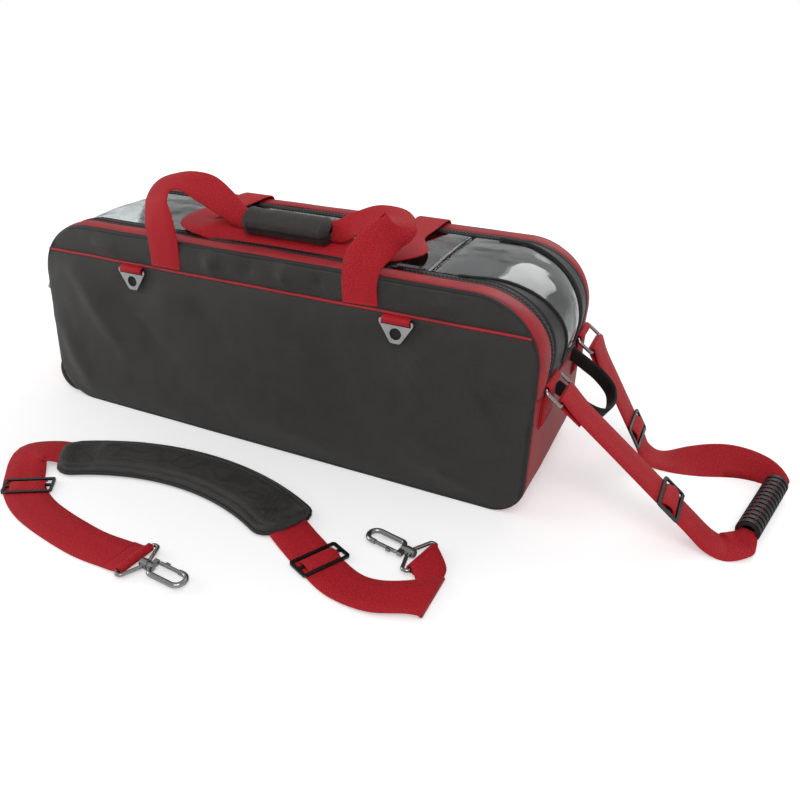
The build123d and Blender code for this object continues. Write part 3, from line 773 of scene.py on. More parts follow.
class TOTE_OT_film(bpy.types.Operator):
    """Build the clear film, its end flap with bound edges and the black wings beside it"""
    bl_idname = "tote.film"
    bl_label = "Clear top"

    def execute(self, context):
        gauge = shape().film_gauge
        window = shell_strip("clear_window_film", seam_left, flap_start,
                             lambda d: (-abs(window_front), abs(window_front)), "clear_vinyl", "bag",
                             film_lift, gauge, across=26, wave=0.0, pitch=0.006)
        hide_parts("clear_window")
        start, end = flap_start + mm(1.2), flap_end
        flap = shell_strip("end_flap_film", start, end, lambda d: (-film_half(d), film_half(d)),
                           "clear_vinyl", "end_flap", film_lift, gauge, across=26,
                           wave=0.0, pitch=0.006)
        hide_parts("clear_end_flap")
        full = abs(window_front) - mm(0.4)
        for name, sign in (("front", -1), ("back", 1)):
            wing_start = right_corner - mm(30)

            def edges(distance, sign=sign):
                a, b = sign * full, sign * (film_half(distance) - mm(2))
                return (a, b) if a < b else (b, a)

            def lift(distance, y, t):
                return mm(0.6)

            shell_strip(f"{name}_flap_wing", wing_start, end, edges, "black_binding", "end_flap",
                        lift, 0.0014, across=6, wave=0.0006)
            path = []
            for i in range(40):
                d = wing_start + (end - wing_start) * i / 39
                path.append(shell_point(d, sign * film_half(d), mm(1.4), 0.0))
            tube(f"{name}_flap_edge", path, mm(1.7), "black_binding", "end_flap")
        foot = [shell_point(end - mm(2.5), film_half(end) * (i / 10 - 1), mm(1.6), 0.0) for i in range(21)]
        hem = ribbon("flap_foot_binding", [(p, outline_direction(end)) for p in foot[::2]], mm(9),
                     "black_webbing_cloth", "end_flap", gauge=mm(2.4))
        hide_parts("flap_binding")
        return {"FINISHED"}


def outline_direction(distance):
    """Direction along the side view at a distance round it."""
    x, z, _, _ = outline_at(distance - mm(1))
    x2, z2, _, _ = outline_at(distance + mm(1))
    return Vector((x2 - x, 0, z2 - z)).normalized()


class TOTE_OT_zipper(bpy.types.Operator):
    """Build the zipper tape, its coil of teeth and the seams beside it"""
    bl_idname = "tote.zipper"
    bl_label = "Zipper"

    def execute(self, context):
        tape_middle = (abs(tape_front) + abs(window_front)) / 2
        tapes = []
        for name, sign in (("front", -1), ("back", 1)):
            low, high = sorted((sign * abs(tape_front), sign * (abs(window_front) - mm(0.2))))
            tapes.append(shell_strip(f"{name}_zip_tape", seam_left, seam_right,
                                     lambda d, low=low, high=high: (low, high), "black_binding", "bag",
                                     None, 0.0016, across=6, wave=0.0005))
        end_low, end_high = seam_right - (flap_foot - mm(0.6) - end_seam), seam_right
        tapes.append(shell_strip("end_zip_tape", end_low, end_high,
                                 lambda d: (-abs(window_front), abs(window_front)), "black_binding",
                                 "bag", None, 0.0016, across=20, wave=0.0004))
        for tape in tapes:
            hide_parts("zipper_tape")
        verts, faces = [], []
        pitch = mm(2.4)
        half_across, half_along, rise = mm(2.6), mm(0.75), mm(1.3)
        paths = [[(d, sign * tape_middle) for d in steps(seam_left, end_low + mm(5), pitch)]
                 for sign in (-1, 1)]
        for path in paths:
            for i, (distance, y) in enumerate(path):
                lean = half_across * (0.35 if i % 2 else -0.35)
                base = len(verts)
                for lift in (0.0, rise):
                    for along, across in ((-1, -1), (1, -1), (1, 1), (-1, 1)):
                        narrow = 1 if lift == 0 else 0.6
                        verts.append(shell_point(distance + along * half_along * narrow,
                                                 y + lean + across * half_across * narrow, lift, 0.0005))
                faces += [tuple(base + k for k in f) for f in (
                    (4, 5, 6, 7), (0, 1, 5, 4), (1, 2, 6, 5), (2, 3, 7, 6), (3, 0, 4, 7))]
        add_piece("zip_teeth", verts, faces, "zip_plastic", "bag")
        runs = []
        for sign in (-1, 1):
            for y in (abs(tape_front) + mm(2), abs(window_front) - mm(2.5)):
                lift = mm(1.4) if y > abs(tape_front) else mm(0.3)
                runs.append([(shell_point(d, sign * y, lift, 0.0005), skin_normal(d))
                             for d in steps(seam_left + mm(6), end_low - mm(4), mm(8))])
        stitching("zip_seams", runs[::2], "red_thread", "bag")
        return {"FINISHED"}


def steps(start, end, pitch):
    """Evenly spaced values from start to end."""
    count = max(int((end - start) / pitch), 1)
    return [start + (end - start) * i / count for i in range(count + 1)]


def skin_normal(distance):
    _, _, nx, nz = outline_at(distance)
    return Vector((nx, 0, nz))


# ---------------------------------------------------------------- handles


class TOTE_OT_handles(bpy.types.Operator):
    """Build the webbing of both carry handles"""
    bl_idname = "tote.handles"
    bl_label = "Carry handles"

    def execute(self, context):
        low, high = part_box("front_handle_webbing")
        plane = low.y + mm(1.25)
        foot = low.z
        width = mm(44)
        grip_low, grip_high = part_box("grip_wrap")
        grip = (grip_low + grip_high) / 2
        x_axis, z_axis = Vector((1, 0, 0)), Vector((0, 0, 1))
        left = [
            (Vector((mm(-135), plane, foot)), -x_axis),
            (Vector((mm(-135), plane - mm(1.5), foot + mm(30))), -x_axis),
            (Vector((mm(-139), plane - mm(1), foot + mm(58))), Vector((-1, 0.1, 0))),
            (Vector((mm(-146), plane + mm(6), foot + mm(82))), Vector((-0.9, 0.4, 0.15))),
            (Vector((mm(-143), plane + mm(20), foot + mm(98))), Vector((-0.6, 0.75, 0.25))),
            (Vector((mm(-125), plane + mm(34), foot + mm(103))), Vector((-0.1, 0.95, 0.25))),
            (Vector((mm(-100), plane + mm(44), foot + mm(95))), Vector((0.1, 0.85, 0.5))),
            (Vector((mm(-78), plane + mm(50), foot + mm(80))), Vector((0.1, 0.65, 0.75))),
            (Vector((grip_low.x - mm(8), grip.y, grip.z + mm(3))), Vector((0, 0.3, 0.95))),
            (Vector((grip_low.x + mm(14), grip.y, grip.z)), z_axis),
        ]
        left_piece = ribbon("front_handle_left", left, width, "red_webbing_cloth", "front_handle",
                            widths=[width, mm(46), mm(48)] + [width] * 4 + [mm(36), mm(27), mm(22)])
        right = [
            (Vector((mm(135), plane, foot)), -x_axis),
            (Vector((mm(134), plane - mm(1.5), foot + mm(28))), -x_axis),
            (Vector((mm(140), plane - mm(1), foot + mm(54))), Vector((-0.98, -0.15, 0.1))),
            (Vector((mm(156), plane + mm(9), foot + mm(74))), Vector((-0.8, -0.55, 0.15))),
            (Vector((mm(167), plane + mm(26), foot + mm(87))), Vector((-0.4, -0.9, 0.1))),
            (Vector((mm(154), plane + mm(44), foot + mm(91))), Vector((0, -1, -0.05))),
            (Vector((mm(124), plane + mm(54), foot + mm(83))), Vector((0, -0.85, -0.5))),
            (Vector((mm(100), plane + mm(57), foot + mm(72))), Vector((0, -0.65, -0.75))),
            (Vector((grip_high.x + mm(9), grip.y, grip.z + mm(3))), Vector((0, -0.3, -0.95))),
            (Vector((grip_high.x - mm(14), grip.y, grip.z)), -z_axis),
        ]
        ribbon("front_handle_right", right, width, "red_webbing_cloth", "front_handle",
               widths=[width] * 7 + [mm(36), mm(27), mm(22)])
        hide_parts("front_handle_webbing")
        self.back_handle(x_axis)
        self.seat_stitches(plane, foot)
        return {"FINISHED"}

    def back_handle(self, x_axis):
        """The back handle lies over the top and passes close behind the wrap."""
        low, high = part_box("back_handle_webbing")
        plane = high.y - mm(1.25)
        level = top_height + mm(7)
        half_route = [
            (Vector((mm(-135), plane, low.z)), x_axis),
            (Vector((mm(-135), plane + mm(0.6), low.z + mm(26))), x_axis),
            (Vector((mm(-135), plane - mm(8), level - mm(1.5))), x_axis),
            (Vector((mm(-136), mm(60), level)), x_axis),
            (Vector((mm(-138), mm(10), level)), x_axis),
            (Vector((mm(-136), mm(-35), level + mm(1))), Vector((0.98, 0.1, 0))),
            (Vector((mm(-126), mm(-58), level + mm(1.5))), Vector((0.85, 0.5, 0.1))),
            (Vector((mm(-104), mm(-71), level + mm(2))), Vector((0.3, 0.9, 0.25))),
            (Vector((mm(-76), mm(-71), level + mm(1))), Vector((0, 0.75, 0.65))),
            (Vector((mm(-48), mm(-66), level - mm(1))), Vector((0, 0.8, 0.6))),
        ]
        grip_low, grip_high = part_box("grip_wrap")
        route = list(half_route)
        for index, (point, across) in reversed(list(enumerate(half_route))):
            # the legs mirror about the bag's middle, the rest about the wrap's
            about = 0 if index < 5 else grip_low.x + grip_high.x
            route.append((Vector((about - point.x, point.y, point.z)),
                          Vector((-across.x, across.y, across.z))))
        widths = [mm(42)] * 7 + [mm(38), mm(33), mm(30)]
        piece = ribbon("back_handle_strap", keep_turning(route), mm(42), "red_webbing_cloth",
                       "back_handle", widths=widths + widths[::-1])
        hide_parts("back_handle_webbing")

    def seat_stitches(self, plane, foot):
        """Box stitching where the front legs are sewn to the seam."""
        out = Vector((0, -1, 0))
        runs = []
        for x in (mm(-135), mm(135)):
            y = plane - mm(1.2)
            corners = [(-19, 8), (19, 8), (19, 24), (-19, 24), (-19, 8), (19, 24)]
            runs.append([(Vector((x + mm(a), y, foot + mm(b))), out) for a, b in corners])
        stitching("handle_seat_stitches", runs, "red_thread", "front_handle")


def keep_turning(stations):
    """Flip across directions that would twist the strap right round between two stations."""
    fixed = [stations[0]]
    for point, across in stations[1:]:
        fixed.append((point, across if across.dot(fixed[-1][1]) >= 0 else -across))
    return fixed


class TOTE_OT_grip(bpy.types.Operator):
    """Build the padded wrap round the carry handles"""
    bl_idname = "tote.grip"
    bl_label = "Grip wrap"

    def execute(self, context):
        low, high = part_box("grip_wrap")
        middle = (low + high) / 2
        radius = (high.z - low.z) / 2
        length = high.x - low.x
        around, along = 48, 60
        verts = []
        for i in range(along + 1):
            t = i / along
            end = min(t, 1 - t) * length
            shoulder = min(1, (end / mm(9)) ** 0.5 * 0.45 + 0.55) if end < mm(9) else 1.0
            binding = 1.05 if mm(2) < end < mm(11) else 1.0
            for k in range(around):
                turn = 2 * pi * k / around
                # the lap where the wrap closes is a soft groove along the front
                lap = exp(-((turn - radians(205)) / 0.09) ** 2) * mm(3)
                step = mm(1.3) if radians(150) < turn < radians(205) else 0.0
                pucker = mm(0.7) * noise.noise(Vector((t * 9, cos(turn) * 1.6, sin(turn) * 1.6)))
                fine = mm(0.35) * noise.noise(Vector((t * 34, cos(turn) * 3, sin(turn) * 3)))
                r = (radius + mm(0.4)) * shoulder * binding - lap + step + pucker + fine
                verts.append(Vector((low.x + length * t, middle.y + r * cos(turn), middle.z + r * sin(turn))))
        faces = grid_faces(along + 1, around, wrap_columns=True)
        faces.append(tuple(range(around))[::-1])
        faces.append(tuple(range(len(verts) - around, len(verts))))
        wrap = add_piece("grip_wrap_pad", verts, faces, "black_polyester", "front_handle")
        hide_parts("grip_wrap")
        runs = []
        for x in (low.x + mm(11.5), high.x - mm(11.5)):
            ring = []
            for k in range(33):
                turn = 2 * pi * k / 32
                out = Vector((0, cos(turn), sin(turn)))
                ring.append((Vector((x, middle.y, middle.z)) + out * radius * 0.985, out))
            runs.append(ring)
        turn = radians(212)
        out = Vector((0, cos(turn), sin(turn)))
        runs.append([(Vector((x, middle.y, middle.z)) + out * (radius * 0.955), out)
                     for x in (low.x + mm(12), high.x - mm(12))])
        stitching("grip_wrap_stitches", runs, "black_thread", "front_handle")
        return {"FINISHED"}


# ---------------------------------------------------------------- tabs, grab loop, pull strap


def tab_round_bar(name, bar, away, tail, width, replaced):
    """Webbing that comes up from its seam, turns round a ring's bar and goes back."""
    reach = mm(3.8)
    side = Vector((0, 1, 0))
    out = Vector((away, 0, 0))
    face = Vector((away * half_length + away * mm(1.6), bar.y, bar.z))
    stations = [(Vector((face.x, bar.y, bar.z - tail)), side),
                (Vector((face.x + away * mm(0.6), bar.y, bar.z - tail * 0.45)), side)]
    for angle in (200, 150, 100, 50, 0, -50, -95):
        turn = radians(angle)
        stations.append((bar + out * reach * cos(turn) + Vector((0, 0, 1)) * reach * sin(turn), side))
    stations.append((Vector((face.x + away * mm(2.8), bar.y, bar.z - mm(14))), side))
    stations.append((Vector((face.x + away * mm(2.4), bar.y, bar.z - tail * 0.9)), side))
    piece = ribbon(name, stations, width, "red_webbing_cloth", "bag", steps=5)
    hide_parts(replaced)
    return piece


class TOTE_OT_tabs(bpy.types.Operator):
    """Build the webbing tabs that hold the rings"""
    bl_idname = "tote.tabs"
    bl_label = "Ring tabs"

    def execute(self, context):
        joints = {j["name"]: j for j in frame["joints"]}
        for name, joint in (("front_pull_tab", "front_ring_swing"), ("rear_pull_tab", "rear_ring_swing")):
            bar = Vector(joints[joint]["pos_m"])
            tab_round_bar(name, bar, 1, mm(50), mm(47), "pull_ring_tabs")
        bar = Vector(joints["end_ring_swing"]["pos_m"])
        tab_round_bar("left_end_tab", bar, -1, mm(50), mm(47), "left_ring_tab")
        for side in ("left", "right"):
            bar = Vector(joints[f"{side}_triangle_swing"]["pos_m"])
            reach = mm(3.8)
            stations = [(Vector((bar.x, front_face + mm(0.5), bar.z + mm(4.6))), Vector((1, 0, 0)))]
            for angle in (80, 120, 165, 210, 255):
                turn = radians(angle)
                stations.append((bar + Vector((0, cos(turn), sin(turn))) * reach, Vector((1, 0, 0))))
            stations.append((Vector((bar.x, front_face + mm(0.5), bar.z - mm(4.2))), Vector((1, 0, 0))))
            piece = ribbon(f"{side}_triangle_tab", stations, mm(34), "red_webbing_cloth", "bag",
                           gauge=mm(1.5), steps=5)
            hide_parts("front_ring_tabs")
        return {"FINISHED"}


class TOTE_OT_grab_loop(bpy.types.Operator):
    """Build the black grab loop on the strap end"""
    bl_idname = "tote.grab_loop"
    bl_label = "Grab loop"

    def execute(self, context):
        start = Vector((half_length + mm(1), mm(-26), mm(130)))
        end = Vector((half_length + mm(1), mm(38), mm(146)))
        out = Vector((cos(radians(30)), 0, -sin(radians(30))))
        across = (end - start).cross(out).normalized()
        shape_points = [(0.0, 0), (0.0, 22), (0.02, 46), (0.16, 63), (0.4, 69), (0.62, 69),
                        (0.85, 62), (0.98, 44), (1.0, 22), (1.0, 0)]
        stations = [(start.lerp(end, t) + out * mm(r), across) for t, r in shape_points]
        loop = ribbon("end_grab_strap", stations, mm(20), "black_webbing_cloth", "bag",
                      gauge=mm(4))
        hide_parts("end_grab_loop")
        return {"FINISHED"}


class TOTE_OT_pull_strap(bpy.types.Operator):
    """Build the two legs of the pull strap and the stitching at its grip"""
    bl_idname = "tote.pull_strap"
    bl_label = "Pull strap"

    def execute(self, context):
        joints = {j["name"]: j for j in frame["joints"]}
        outer = Vector(joints["pull_strap_lift"]["pos_m"])
        grip_low, grip_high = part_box("pull_grip")
        grip = (grip_low + grip_high) / 2
        axis = Vector((mm(27), mm(128), 0)).normalized()
        floor = mm(1.4)
        half = mm(61)
        side = Vector((0, 1, 0))
        start, end = grip - axis * half, grip + axis * half
        front = loop_start(Vector((outer.x, mm(-70), outer.z)), mm(540), side) + [
            (Vector((mm(548), mm(-69), floor)), Vector((-0.2, 0.98, 0))),
            (Vector((mm(560), mm(-63), floor + mm(3))), Vector((-0.55, 0.83, 0))),
            (start - axis * mm(6) + Vector((mm(-1), 0, mm(-6))), Vector((-0.88, 0.4, 0.12))),
            (start + axis * mm(5), Vector((-0.97, 0.2, 0))),
        ]
        rear = loop_start(Vector((outer.x, mm(85), outer.z)), mm(450), side) + [
            (Vector((mm(466), mm(86), floor)), side),
            (Vector((mm(500), mm(90), floor + mm(6))), Vector((0, 0.9, 0.42))),
            (Vector((mm(545), mm(97), floor + mm(13))), Vector((0.1, 0.5, 0.86))),
            (Vector((mm(578), mm(95), floor + mm(14))), Vector((0.35, 0.3, 0.88))),
            (end + axis * mm(6) + Vector((mm(1), 0, 0)), Vector((0.85, 0.1, 0.5))),
            (end - axis * mm(5), Vector((0.97, -0.2, 0))),
        ]
        broad = mm(49)
        widths = {"front": [broad] * (len(front) - 3) + [mm(46), mm(30), mm(17)],
                  "rear": [broad] * (len(rear) - 4) + [mm(44), mm(34), mm(23), mm(17)]}
        for name, stations in (("front", front), ("rear", rear)):
            piece = ribbon(f"pull_strap_{name}", keep_turning(stations), broad, "red_webbing_cloth",
                           "pull_strap", widths=widths[name])
            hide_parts("pull_webbing")
        runs = []
        up = Vector((0, 0, 1))
        for sign in (-1, 1):
            edge = up.cross(axis) * sign * mm(4)
            run = []
            for i in range(25):
                t = i / 24 - 0.5
                lean = mm(1.6) * (1 if i % 2 else -1)
                run.append((grip + axis * (t * mm(112)) + edge + up.cross(axis) * lean + up * mm(12.7), up))
            runs.append(run)
        stitching("pull_grip_stitches", runs, "red_thread", "pull_strap", pitch=mm(4.6))
        return {"FINISHED"}


def loop_start(bar, reach, side):
    """Webbing lapped on itself, round the ring's outer bar and down to the floor."""
    fall = atan2(bar.z, reach - bar.x)
    along = Vector((cos(fall), 0, -sin(fall)))
    up = Vector((sin(fall), 0, cos(fall)))
    radius = mm(3.8)
    points = [(bar + along * mm(30) - up * mm(2.9), side)]
    for angle in (250, 205, 160, 115):
        turn = radians(angle)
        points.append((bar + along * radius * cos(turn) + up * radius * sin(turn), side))
    run = (Vector((reach, bar.y, 0)) - bar).length
    for share in (0.12, 0.35, 0.6, 0.82, 0.95):
        points.append((bar + along * run * share + up * mm(0.6), side))
    return points


# ---------------------------------------------------------------- shoulder strap

pad_points = [mm(-188, -255, 0), mm(-42, -213, 0), mm(100, -247, 0)]


def pad_arc(t):
    """Middle line of the shoulder pad and its direction, t from 0 to 1."""
    a, b, c = pad_points
    d = 2 * (a.x * (b.y - c.y) + b.x * (c.y - a.y) + c.x * (a.y - b.y))
    aa, bb, cc = (p.x ** 2 + p.y ** 2 for p in (a, b, c))
    middle = Vector(((aa * (b.y - c.y) + bb * (c.y - a.y) + cc * (a.y - b.y)) / d,
                     (aa * (c.x - b.x) + bb * (a.x - c.x) + cc * (b.x - a.x)) / d, 0))
    radius = (a - middle).length
    first = atan2(a.y - middle.y, a.x - middle.x)
    last = atan2(c.y - middle.y, c.x - middle.x)
    turn = first + (last - first) * t
    out = Vector((cos(turn), sin(turn), 0))
    return middle + out * radius, Vector((sin(turn), -cos(turn), 0)), out


class TOTE_OT_shoulder_pad(bpy.types.Operator):
    """Build the padded shoulder pad with its binding and box stitching"""
    bl_idname = "tote.shoulder_pad"
    bl_label = "Shoulder pad"

    def execute(self, context):
        low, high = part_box("shoulder_pad")
        gauge = high.z
        half, cap = mm(37), mm(26)
        rows, columns = 84, 36
        length = mm(300)
        verts = []
        for top in (True, False):
            for i in range(rows + 1):
                run = -cap + (length + 2 * cap) * i / rows
                t = min(max(run / length, 0), 1)
                middle, along, across = pad_arc(t)
                over = run if run < 0 else max(run - length, 0)
                middle = middle + along * over
                reach = half * max(1 - (abs(over) / (cap * 1.02)) ** 2.6, 0.0) ** 0.5
                for j in range(columns + 1):
                    s = 2 * j / columns - 1
                    rim = max(1 - abs(s) ** 3.2, 0) ** 0.6 * min(reach / (half * 0.7), 1)
                    dent = 0.0
                    for tie in (mm(8), length - mm(8)):
                        dent += mm(3.2) * exp(-((run - tie) / mm(17)) ** 4)
                    # the channel sewn inside the edge
                    dent += mm(2) * exp(-((abs(s) - 0.74) / 0.06) ** 2) * min(reach / half, 1) ** 2
                    pucker = mm(0.9) * noise.noise(Vector((run * 38, s * 2.2, 4)))
                    z = mm(4.5) + ((gauge - mm(4.5)) * rim - (dent + pucker) * rim if top else -mm(4.2) * rim)
                    place = middle + across * (s * reach)
                    verts.append(Vector((place.x, place.y, z)))
        count = (rows + 1) * (columns + 1)
        upper = grid_faces(rows + 1, columns + 1)
        faces = upper + [tuple(v + count for v in f[::-1]) for f in upper]
        pad = add_piece("shoulder_pad_cushion", verts, faces, "black_polyester", "shoulder_strap")
        weld(pad)
        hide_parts("shoulder_pad")
        self.binding(half, cap, length)
        self.boxes(half, length, gauge)
        return {"FINISHED"}

    def binding(self, half, cap, length):
        """Bound edge all round the pad."""
        path = []
        for sign, order in ((1, 1), (-1, -1)):
            for i in range(73)[::order]:
                run = -cap + (length + 2 * cap) * i / 72
                middle, along, across = pad_arc(min(max(run / length, 0), 1))
                over = run if run < 0 else max(run - length, 0)
                reach = half * max(1 - (abs(over) / (cap * 1.02)) ** 2.6, 0.0) ** 0.5
                if path and i in (0, 72):
                    continue
                path.append(middle + along * over + across * sign * reach + Vector((0, 0, mm(4.6))))
        tube("shoulder_pad_binding", path, mm(2.2), "black_binding", "shoulder_strap",
             closed=True)

    def boxes(self, half, length, gauge):
        """A crossed box of thread at each end of the pad."""
        runs = []
        up = Vector((0, 0, 1))
        for start in (mm(-6), length - mm(22)):
            corners = [(0, -1), (28, -1), (28, 1), (0, 1), (0, -1), (28, 1), (28, -1), (0, 1)]
            run = []
            for a, b in corners:
                middle, along, across = pad_arc(min(max((start + mm(a)) / length, 0), 1))
                over = min(start + mm(a), 0) + max(start + mm(a) - length, 0)
                run.append((middle + along * over + across * b * half * 0.55 + up * (gauge - mm(2.6)), up))
            runs.append(run)
        stitching("shoulder_pad_stitches", runs, "black_thread", "shoulder_strap",
                  thread=0.0007)


def weld(piece):
    """Merge the two faces of a pad along its rim."""
    mesh = bmesh.new()
    mesh.from_mesh(piece.data)
    bmesh.ops.remove_doubles(mesh, verts=mesh.verts, dist=0.0004)
    bmesh.ops.recalc_face_normals(mesh, faces=mesh.faces)
    mesh.to_mesh(piece.data)
    mesh.free()


class TOTE_OT_shoulder_webbing(bpy.types.Operator):
    """Build both lengths of shoulder webbing out to their hooks"""
    bl_idname = "tote.shoulder_webbing"
    bl_label = "Shoulder webbing"

    def execute(self, context):
        routes = {
            "left": [(-150, -245, 6), (-184, -254, 6), (-216, -263, 10), (-238, -285, 12),
                     (-222, -314, 3), (-197, -340, 2), (-150, -364, 1.6), (-70, -381, 1.6),
                     (-20, -382.5, 2.2), (-2, -383.4, 4.5)],
            "right": [(66, -238, 6), (100, -249, 6), (140, -273, 2.6), (178, -296, 2.2),
                      (214, -314, 2.6), (248, -317, 4.2), (280, -305, 6.2)],
        }
        joints = {j["name"]: j for j in frame["joints"]}
        for side, points in routes.items():
            middles = [mm(*p) for p in points]
            stations = []
            for i, p in enumerate(middles):
                ahead = middles[min(i + 1, len(middles) - 1)] - middles[max(i - 1, 0)]
                stations.append((p, Vector((-ahead.y, ahead.x, 0)).normalized()))
            if side == "right":
                stations = self.fold(stations)
            bar = Vector(joints[f"{side}_loop_fold"]["pos_m"])
            across = Vector(joints[f"{side}_loop_fold"]["axis"])
            across = across if across.dot(stations[-1][1]) > 0 else -across
            heading = Vector((across.y, -across.x, 0))
            heading = heading if heading.dot(bar - stations[-1][0]) > 0 else -heading
            radius = mm(3.7)
            for angle in (130, 90, 50, 0, -50, -90, -130):
                turn = radians(angle)
                stations.append((bar + heading * radius * cos(turn) + Vector((0, 0, radius * sin(turn))),
                                 across))
            # the lap's end lies under the strap, which turns away sooner on the right
            lap = mm(5) if side == "right" else mm(24)
            stations.append((bar - heading * lap + Vector((0, 0, mm(-4.6))), across))
            piece = ribbon(f"{side}_shoulder_strap", stations, mm(49), "red_webbing_cloth",
                           "shoulder_strap", steps=7, slanted=side == "right",
                           widths=[mm(60), mm(54)] + [mm(49)] * 8 if side == "right" else None)
            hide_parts(f"{side}_strap_webbing")
        return {"FINISHED"}

    def fold(self, stations):
        """The right strap's upper layer, its slanted fold, and the start of the layer beneath."""
        crease = Vector((0, 1, 0))
        upper = stations + [(mm(302, -291.5, 5.6), crease)]
        layer = ribbon("right_shoulder_strap_upper", upper, mm(49), "red_webbing_cloth",
                       "shoulder_strap", steps=7, slanted=True,
                       widths=[mm(49)] * len(stations) + [mm(66)])
        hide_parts("right_strap_webbing")
        tube("right_strap_fold", [mm(301.4, -291.5 + 6.2 * i, 4.3) for i in range(-5, 6)], mm(2.4),
             "red_polyester", "shoulder_strap")
        return [(mm(301, -291.5, 3), crease), (mm(294, -268, 3.6), Vector((0.15, 0.98, 0)).normalized())]


class TOTE_OT_adjuster_laps(bpy.types.Operator):
    """Build the fold of webbing over each slide adjuster's middle bar"""
    bl_idname = "tote.adjuster_laps"
    bl_label = "Adjuster laps"

    def execute(self, context):
        for adjuster, body, joint in (
                ("front_pull_adjuster", "front_pull_slide", "front_adjuster_run"),
                ("rear_pull_adjuster", "rear_pull_slide", "rear_adjuster_run"),
                ("left_strap_adjuster", "left_strap_slide", "left_strap_adjuster_run"),
                ("right_strap_adjuster", "right_strap_slide", "right_strap_adjuster_run")):
            low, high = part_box(adjuster)
            middle = (low + high) / 2
            along = next(Vector(j["axis"]) for j in frame["joints"] if j["name"] == joint)
            across = Vector((-along.y, along.x, 0)).normalized()
            up = along.cross(across)
            up = up if up.z > 0 else -up
            stations = [(middle + along * mm(run) + up * mm(rise), across)
                        for run, rise in ((-9, -0.6), (-5.5, 1.8), (0, 3.2), (5.5, 1.8), (9, -0.6))]
            ribbon(f"{adjuster}_lap", stations, mm(42), "red_webbing_cloth", body,
                   gauge=mm(1.8), steps=4)
        return {"FINISHED"}


# ---------------------------------------------------------------- finishes of the hard pieces

hard_finishes = {
    "nickel_plate": ["front_pull_ring", "rear_pull_ring", "left_end_ring", "left_tri_ring",
                     "right_tri_ring", "left_hook_loop", "right_hook_loop", "left_snap_hook",
                     "right_snap_hook", "left_hook_gate", "right_hook_gate"],
    "gunmetal_plate": ["front_pull_adjuster", "rear_pull_adjuster", "left_strap_adjuster",
                       "right_strap_adjuster", "left_zip_slider", "right_zip_slider"],
    "axle_steel": ["wheel_axles", "front_wheel_bearings", "back_wheel_bearings"],
    "wheel_rubber": ["front_wheel_tyre", "back_wheel_tyre"],
    "wheel_plastic": ["front_wheel_hub", "back_wheel_hub"],
    "housing_plastic_grain": ["front_wheel_housing", "back_wheel_housing"],
    "grip_rubber_grain": ["pull_grip"],
    "cradle_foam": ["ball_cradle"],
    "base_board_fibre": ["base_board"],
    "black_polyester": ["bottom_panel"],
}


class TOTE_OT_hardware(bpy.types.Operator):
    """Give the metal, plastic, rubber and foam pieces their finishes"""
    bl_idname = "tote.hardware"
    bl_label = "Hard pieces"

    def execute(self, context):
        for finish, names in hard_finishes.items():
            for name in names:
                piece = frame["nodes"][name]
                material = bpy.data.materials[finish]
                if not piece.material_slots:
                    piece.data.materials.append(material)
                for slot in piece.material_slots:
                    slot.material = material
        return {"FINISHED"}


class TOTE_OT_materials(bpy.types.Operator):
    """Build every finish from the colours in the panel"""
    bl_idname = "tote.materials"
    bl_label = "Finishes"

    def execute(self, context):
        build_materials()
        return {"FINISHED"}


# ---------------------------------------------------------------- stage


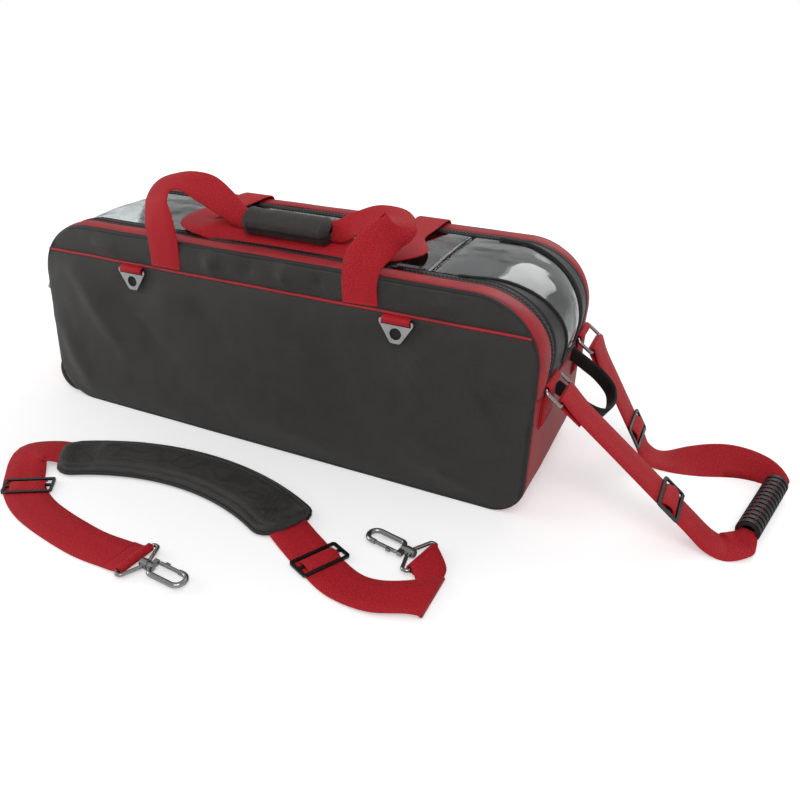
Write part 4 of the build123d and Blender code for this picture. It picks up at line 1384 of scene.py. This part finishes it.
class TOTE_OT_stage(bpy.types.Operator):
    """Build the floor, the lights and the camera"""
    bl_idname = "tote.stage"
    bl_label = "Stage"

    def execute(self, context):
        scene = context.scene
        scene.view_settings.view_transform = "Standard"
        self.floor()
        self.lights()
        self.world(scene)
        data = bpy.data.cameras.new("camera")
        data.sensor_width = 36
        data.lens = 37.8
        data.shift_x = 0.0964
        data.shift_y = -0.0361
        camera = bpy.data.objects.new("camera", data)
        camera.location = (0.5076, -0.9169, 0.5696)
        camera.rotation_euler = (radians(90 - 26), 0, radians(27.7))
        scene.collection.objects.link(camera)
        scene.camera = camera
        return {"FINISHED"}

    def floor(self):
        mesh = bpy.data.meshes.new("floor")
        mesh.from_pydata([(-8, -8, 0), (8, -8, 0), (8, 8, 0), (-8, 8, 0)], [], [(0, 1, 2, 3)])
        floor = bpy.data.objects.new("floor", mesh)
        bpy.context.scene.collection.objects.link(floor)
        finish = Finish("floor_paint")
        finish.set(Base_Color=(0.86, 0.86, 0.86, 1), Roughness=0.7)
        tree = finish.tree
        glow = tree.nodes.new("ShaderNodeEmission")
        path = tree.nodes.new("ShaderNodeLightPath")
        away = tree.nodes.new("ShaderNodeVectorMath")
        away.operation = "LENGTH"
        tree.links.new(finish.vector, away.inputs[0])
        # far from the bag the floor turns as white as the backdrop
        far = math_node(tree, "MINIMUM", math_node(tree, "MULTIPLY", away.outputs["Value"], 0.3), 0.6)
        level = math_node(tree, "ADD", far, 0.3)
        seen = math_node(tree, "MAXIMUM", path.outputs["Is Camera Ray"], path.outputs["Is Transmission Ray"])
        tree.links.new(math_node(tree, "MULTIPLY", level, seen), glow.inputs["Strength"])
        both = tree.nodes.new("ShaderNodeAddShader")
        tree.links.new(finish.shader.outputs[0], both.inputs[0])
        tree.links.new(glow.outputs[0], both.inputs[1])
        tree.links.new(both.outputs[0], tree.nodes["Material Output"].inputs["Surface"])
        mesh.materials.append(finish.material)

    def lights(self):
        for name, place, turn, reach, power in (
                ("key_light", (0.9, -1.6, 2.2), (38, 0, 30), 1.6, 22),
                ("fill_light", (-1.9, -0.75, 0.8), (71, 0, -71), 1.2, 10),
                ("rim_light", (0.6, 1.9, 1.7), (-50, 0, -18), 1.4, 13)):
            data = bpy.data.lights.new(name, "AREA")
            data.size = reach
            data.energy = power
            light = bpy.data.objects.new(name, data)
            light.location = place
            light.rotation_euler = [radians(a) for a in turn]
            bpy.context.scene.collection.objects.link(light)

    def world(self, scene):
        world = bpy.data.worlds.new("studio")
        world.use_nodes = True
        tree = world.node_tree
        soft = tree.nodes["Background"]
        soft.inputs["Color"].default_value = (1, 1, 1, 1)
        soft.inputs["Strength"].default_value = 0.42
        seen = tree.nodes.new("ShaderNodeBackground")
        seen.inputs["Color"].default_value = (1, 1, 1, 1)
        path = tree.nodes.new("ShaderNodeLightPath")
        mix = tree.nodes.new("ShaderNodeMixShader")
        shown = math_node(tree, "MAXIMUM", path.outputs["Is Camera Ray"], path.outputs["Is Transmission Ray"])
        tree.links.new(shown, mix.inputs[0])
        tree.links.new(soft.outputs[0], mix.inputs[1])
        tree.links.new(seen.outputs[0], mix.inputs[2])
        tree.links.new(mix.outputs[0], tree.nodes["World Output"].inputs["Surface"])
        scene.world = world


# ---------------------------------------------------------------- panel and registration

steps_in_order = ["materials", "stage", "hardware", "panels", "piping", "gussets", "film", "zipper",
                  "handles", "grip", "tabs", "grab_loop", "pull_strap", "shoulder_pad",
                  "shoulder_webbing", "adjuster_laps"]


class TOTE_PT_panel(bpy.types.Panel):
    """Sizes, colours and build steps of the tote"""
    bl_idname = "TOTE_PT_panel"
    bl_label = "Bowling tote"
    bl_space_type = "VIEW_3D"
    bl_region_type = "UI"
    bl_category = "Tote"

    def draw(self, context):
        for group in (context.scene.tote_shape, context.scene.tote_cloth):
            for name in group.__annotations__:
                self.layout.prop(group, name)
        for step in steps_in_order:
            self.layout.operator(f"tote.{step}")


classes = (ToteCloth, ToteShape, TOTE_OT_materials, TOTE_OT_stage, TOTE_OT_hardware, TOTE_OT_panels,
           TOTE_OT_piping, TOTE_OT_gussets, TOTE_OT_film, TOTE_OT_zipper, TOTE_OT_handles,
           TOTE_OT_grip, TOTE_OT_tabs, TOTE_OT_grab_loop, TOTE_OT_pull_strap, TOTE_OT_shoulder_pad,
           TOTE_OT_shoulder_webbing, TOTE_OT_adjuster_laps, TOTE_PT_panel)


def register():
    for cls in classes:
        bpy.utils.register_class(cls)
    bpy.types.Scene.tote_cloth = PointerProperty(type=ToteCloth)
    bpy.types.Scene.tote_shape = PointerProperty(type=ToteShape)


def unregister():
    del bpy.types.Scene.tote_shape
    del bpy.types.Scene.tote_cloth
    for cls in reversed(classes):
        bpy.utils.unregister_class(cls)


def main():
    """Build everything in order."""
    register()
    for step in steps_in_order:
        getattr(bpy.ops.tote, step)()


if __name__ == "__main__":
    main()
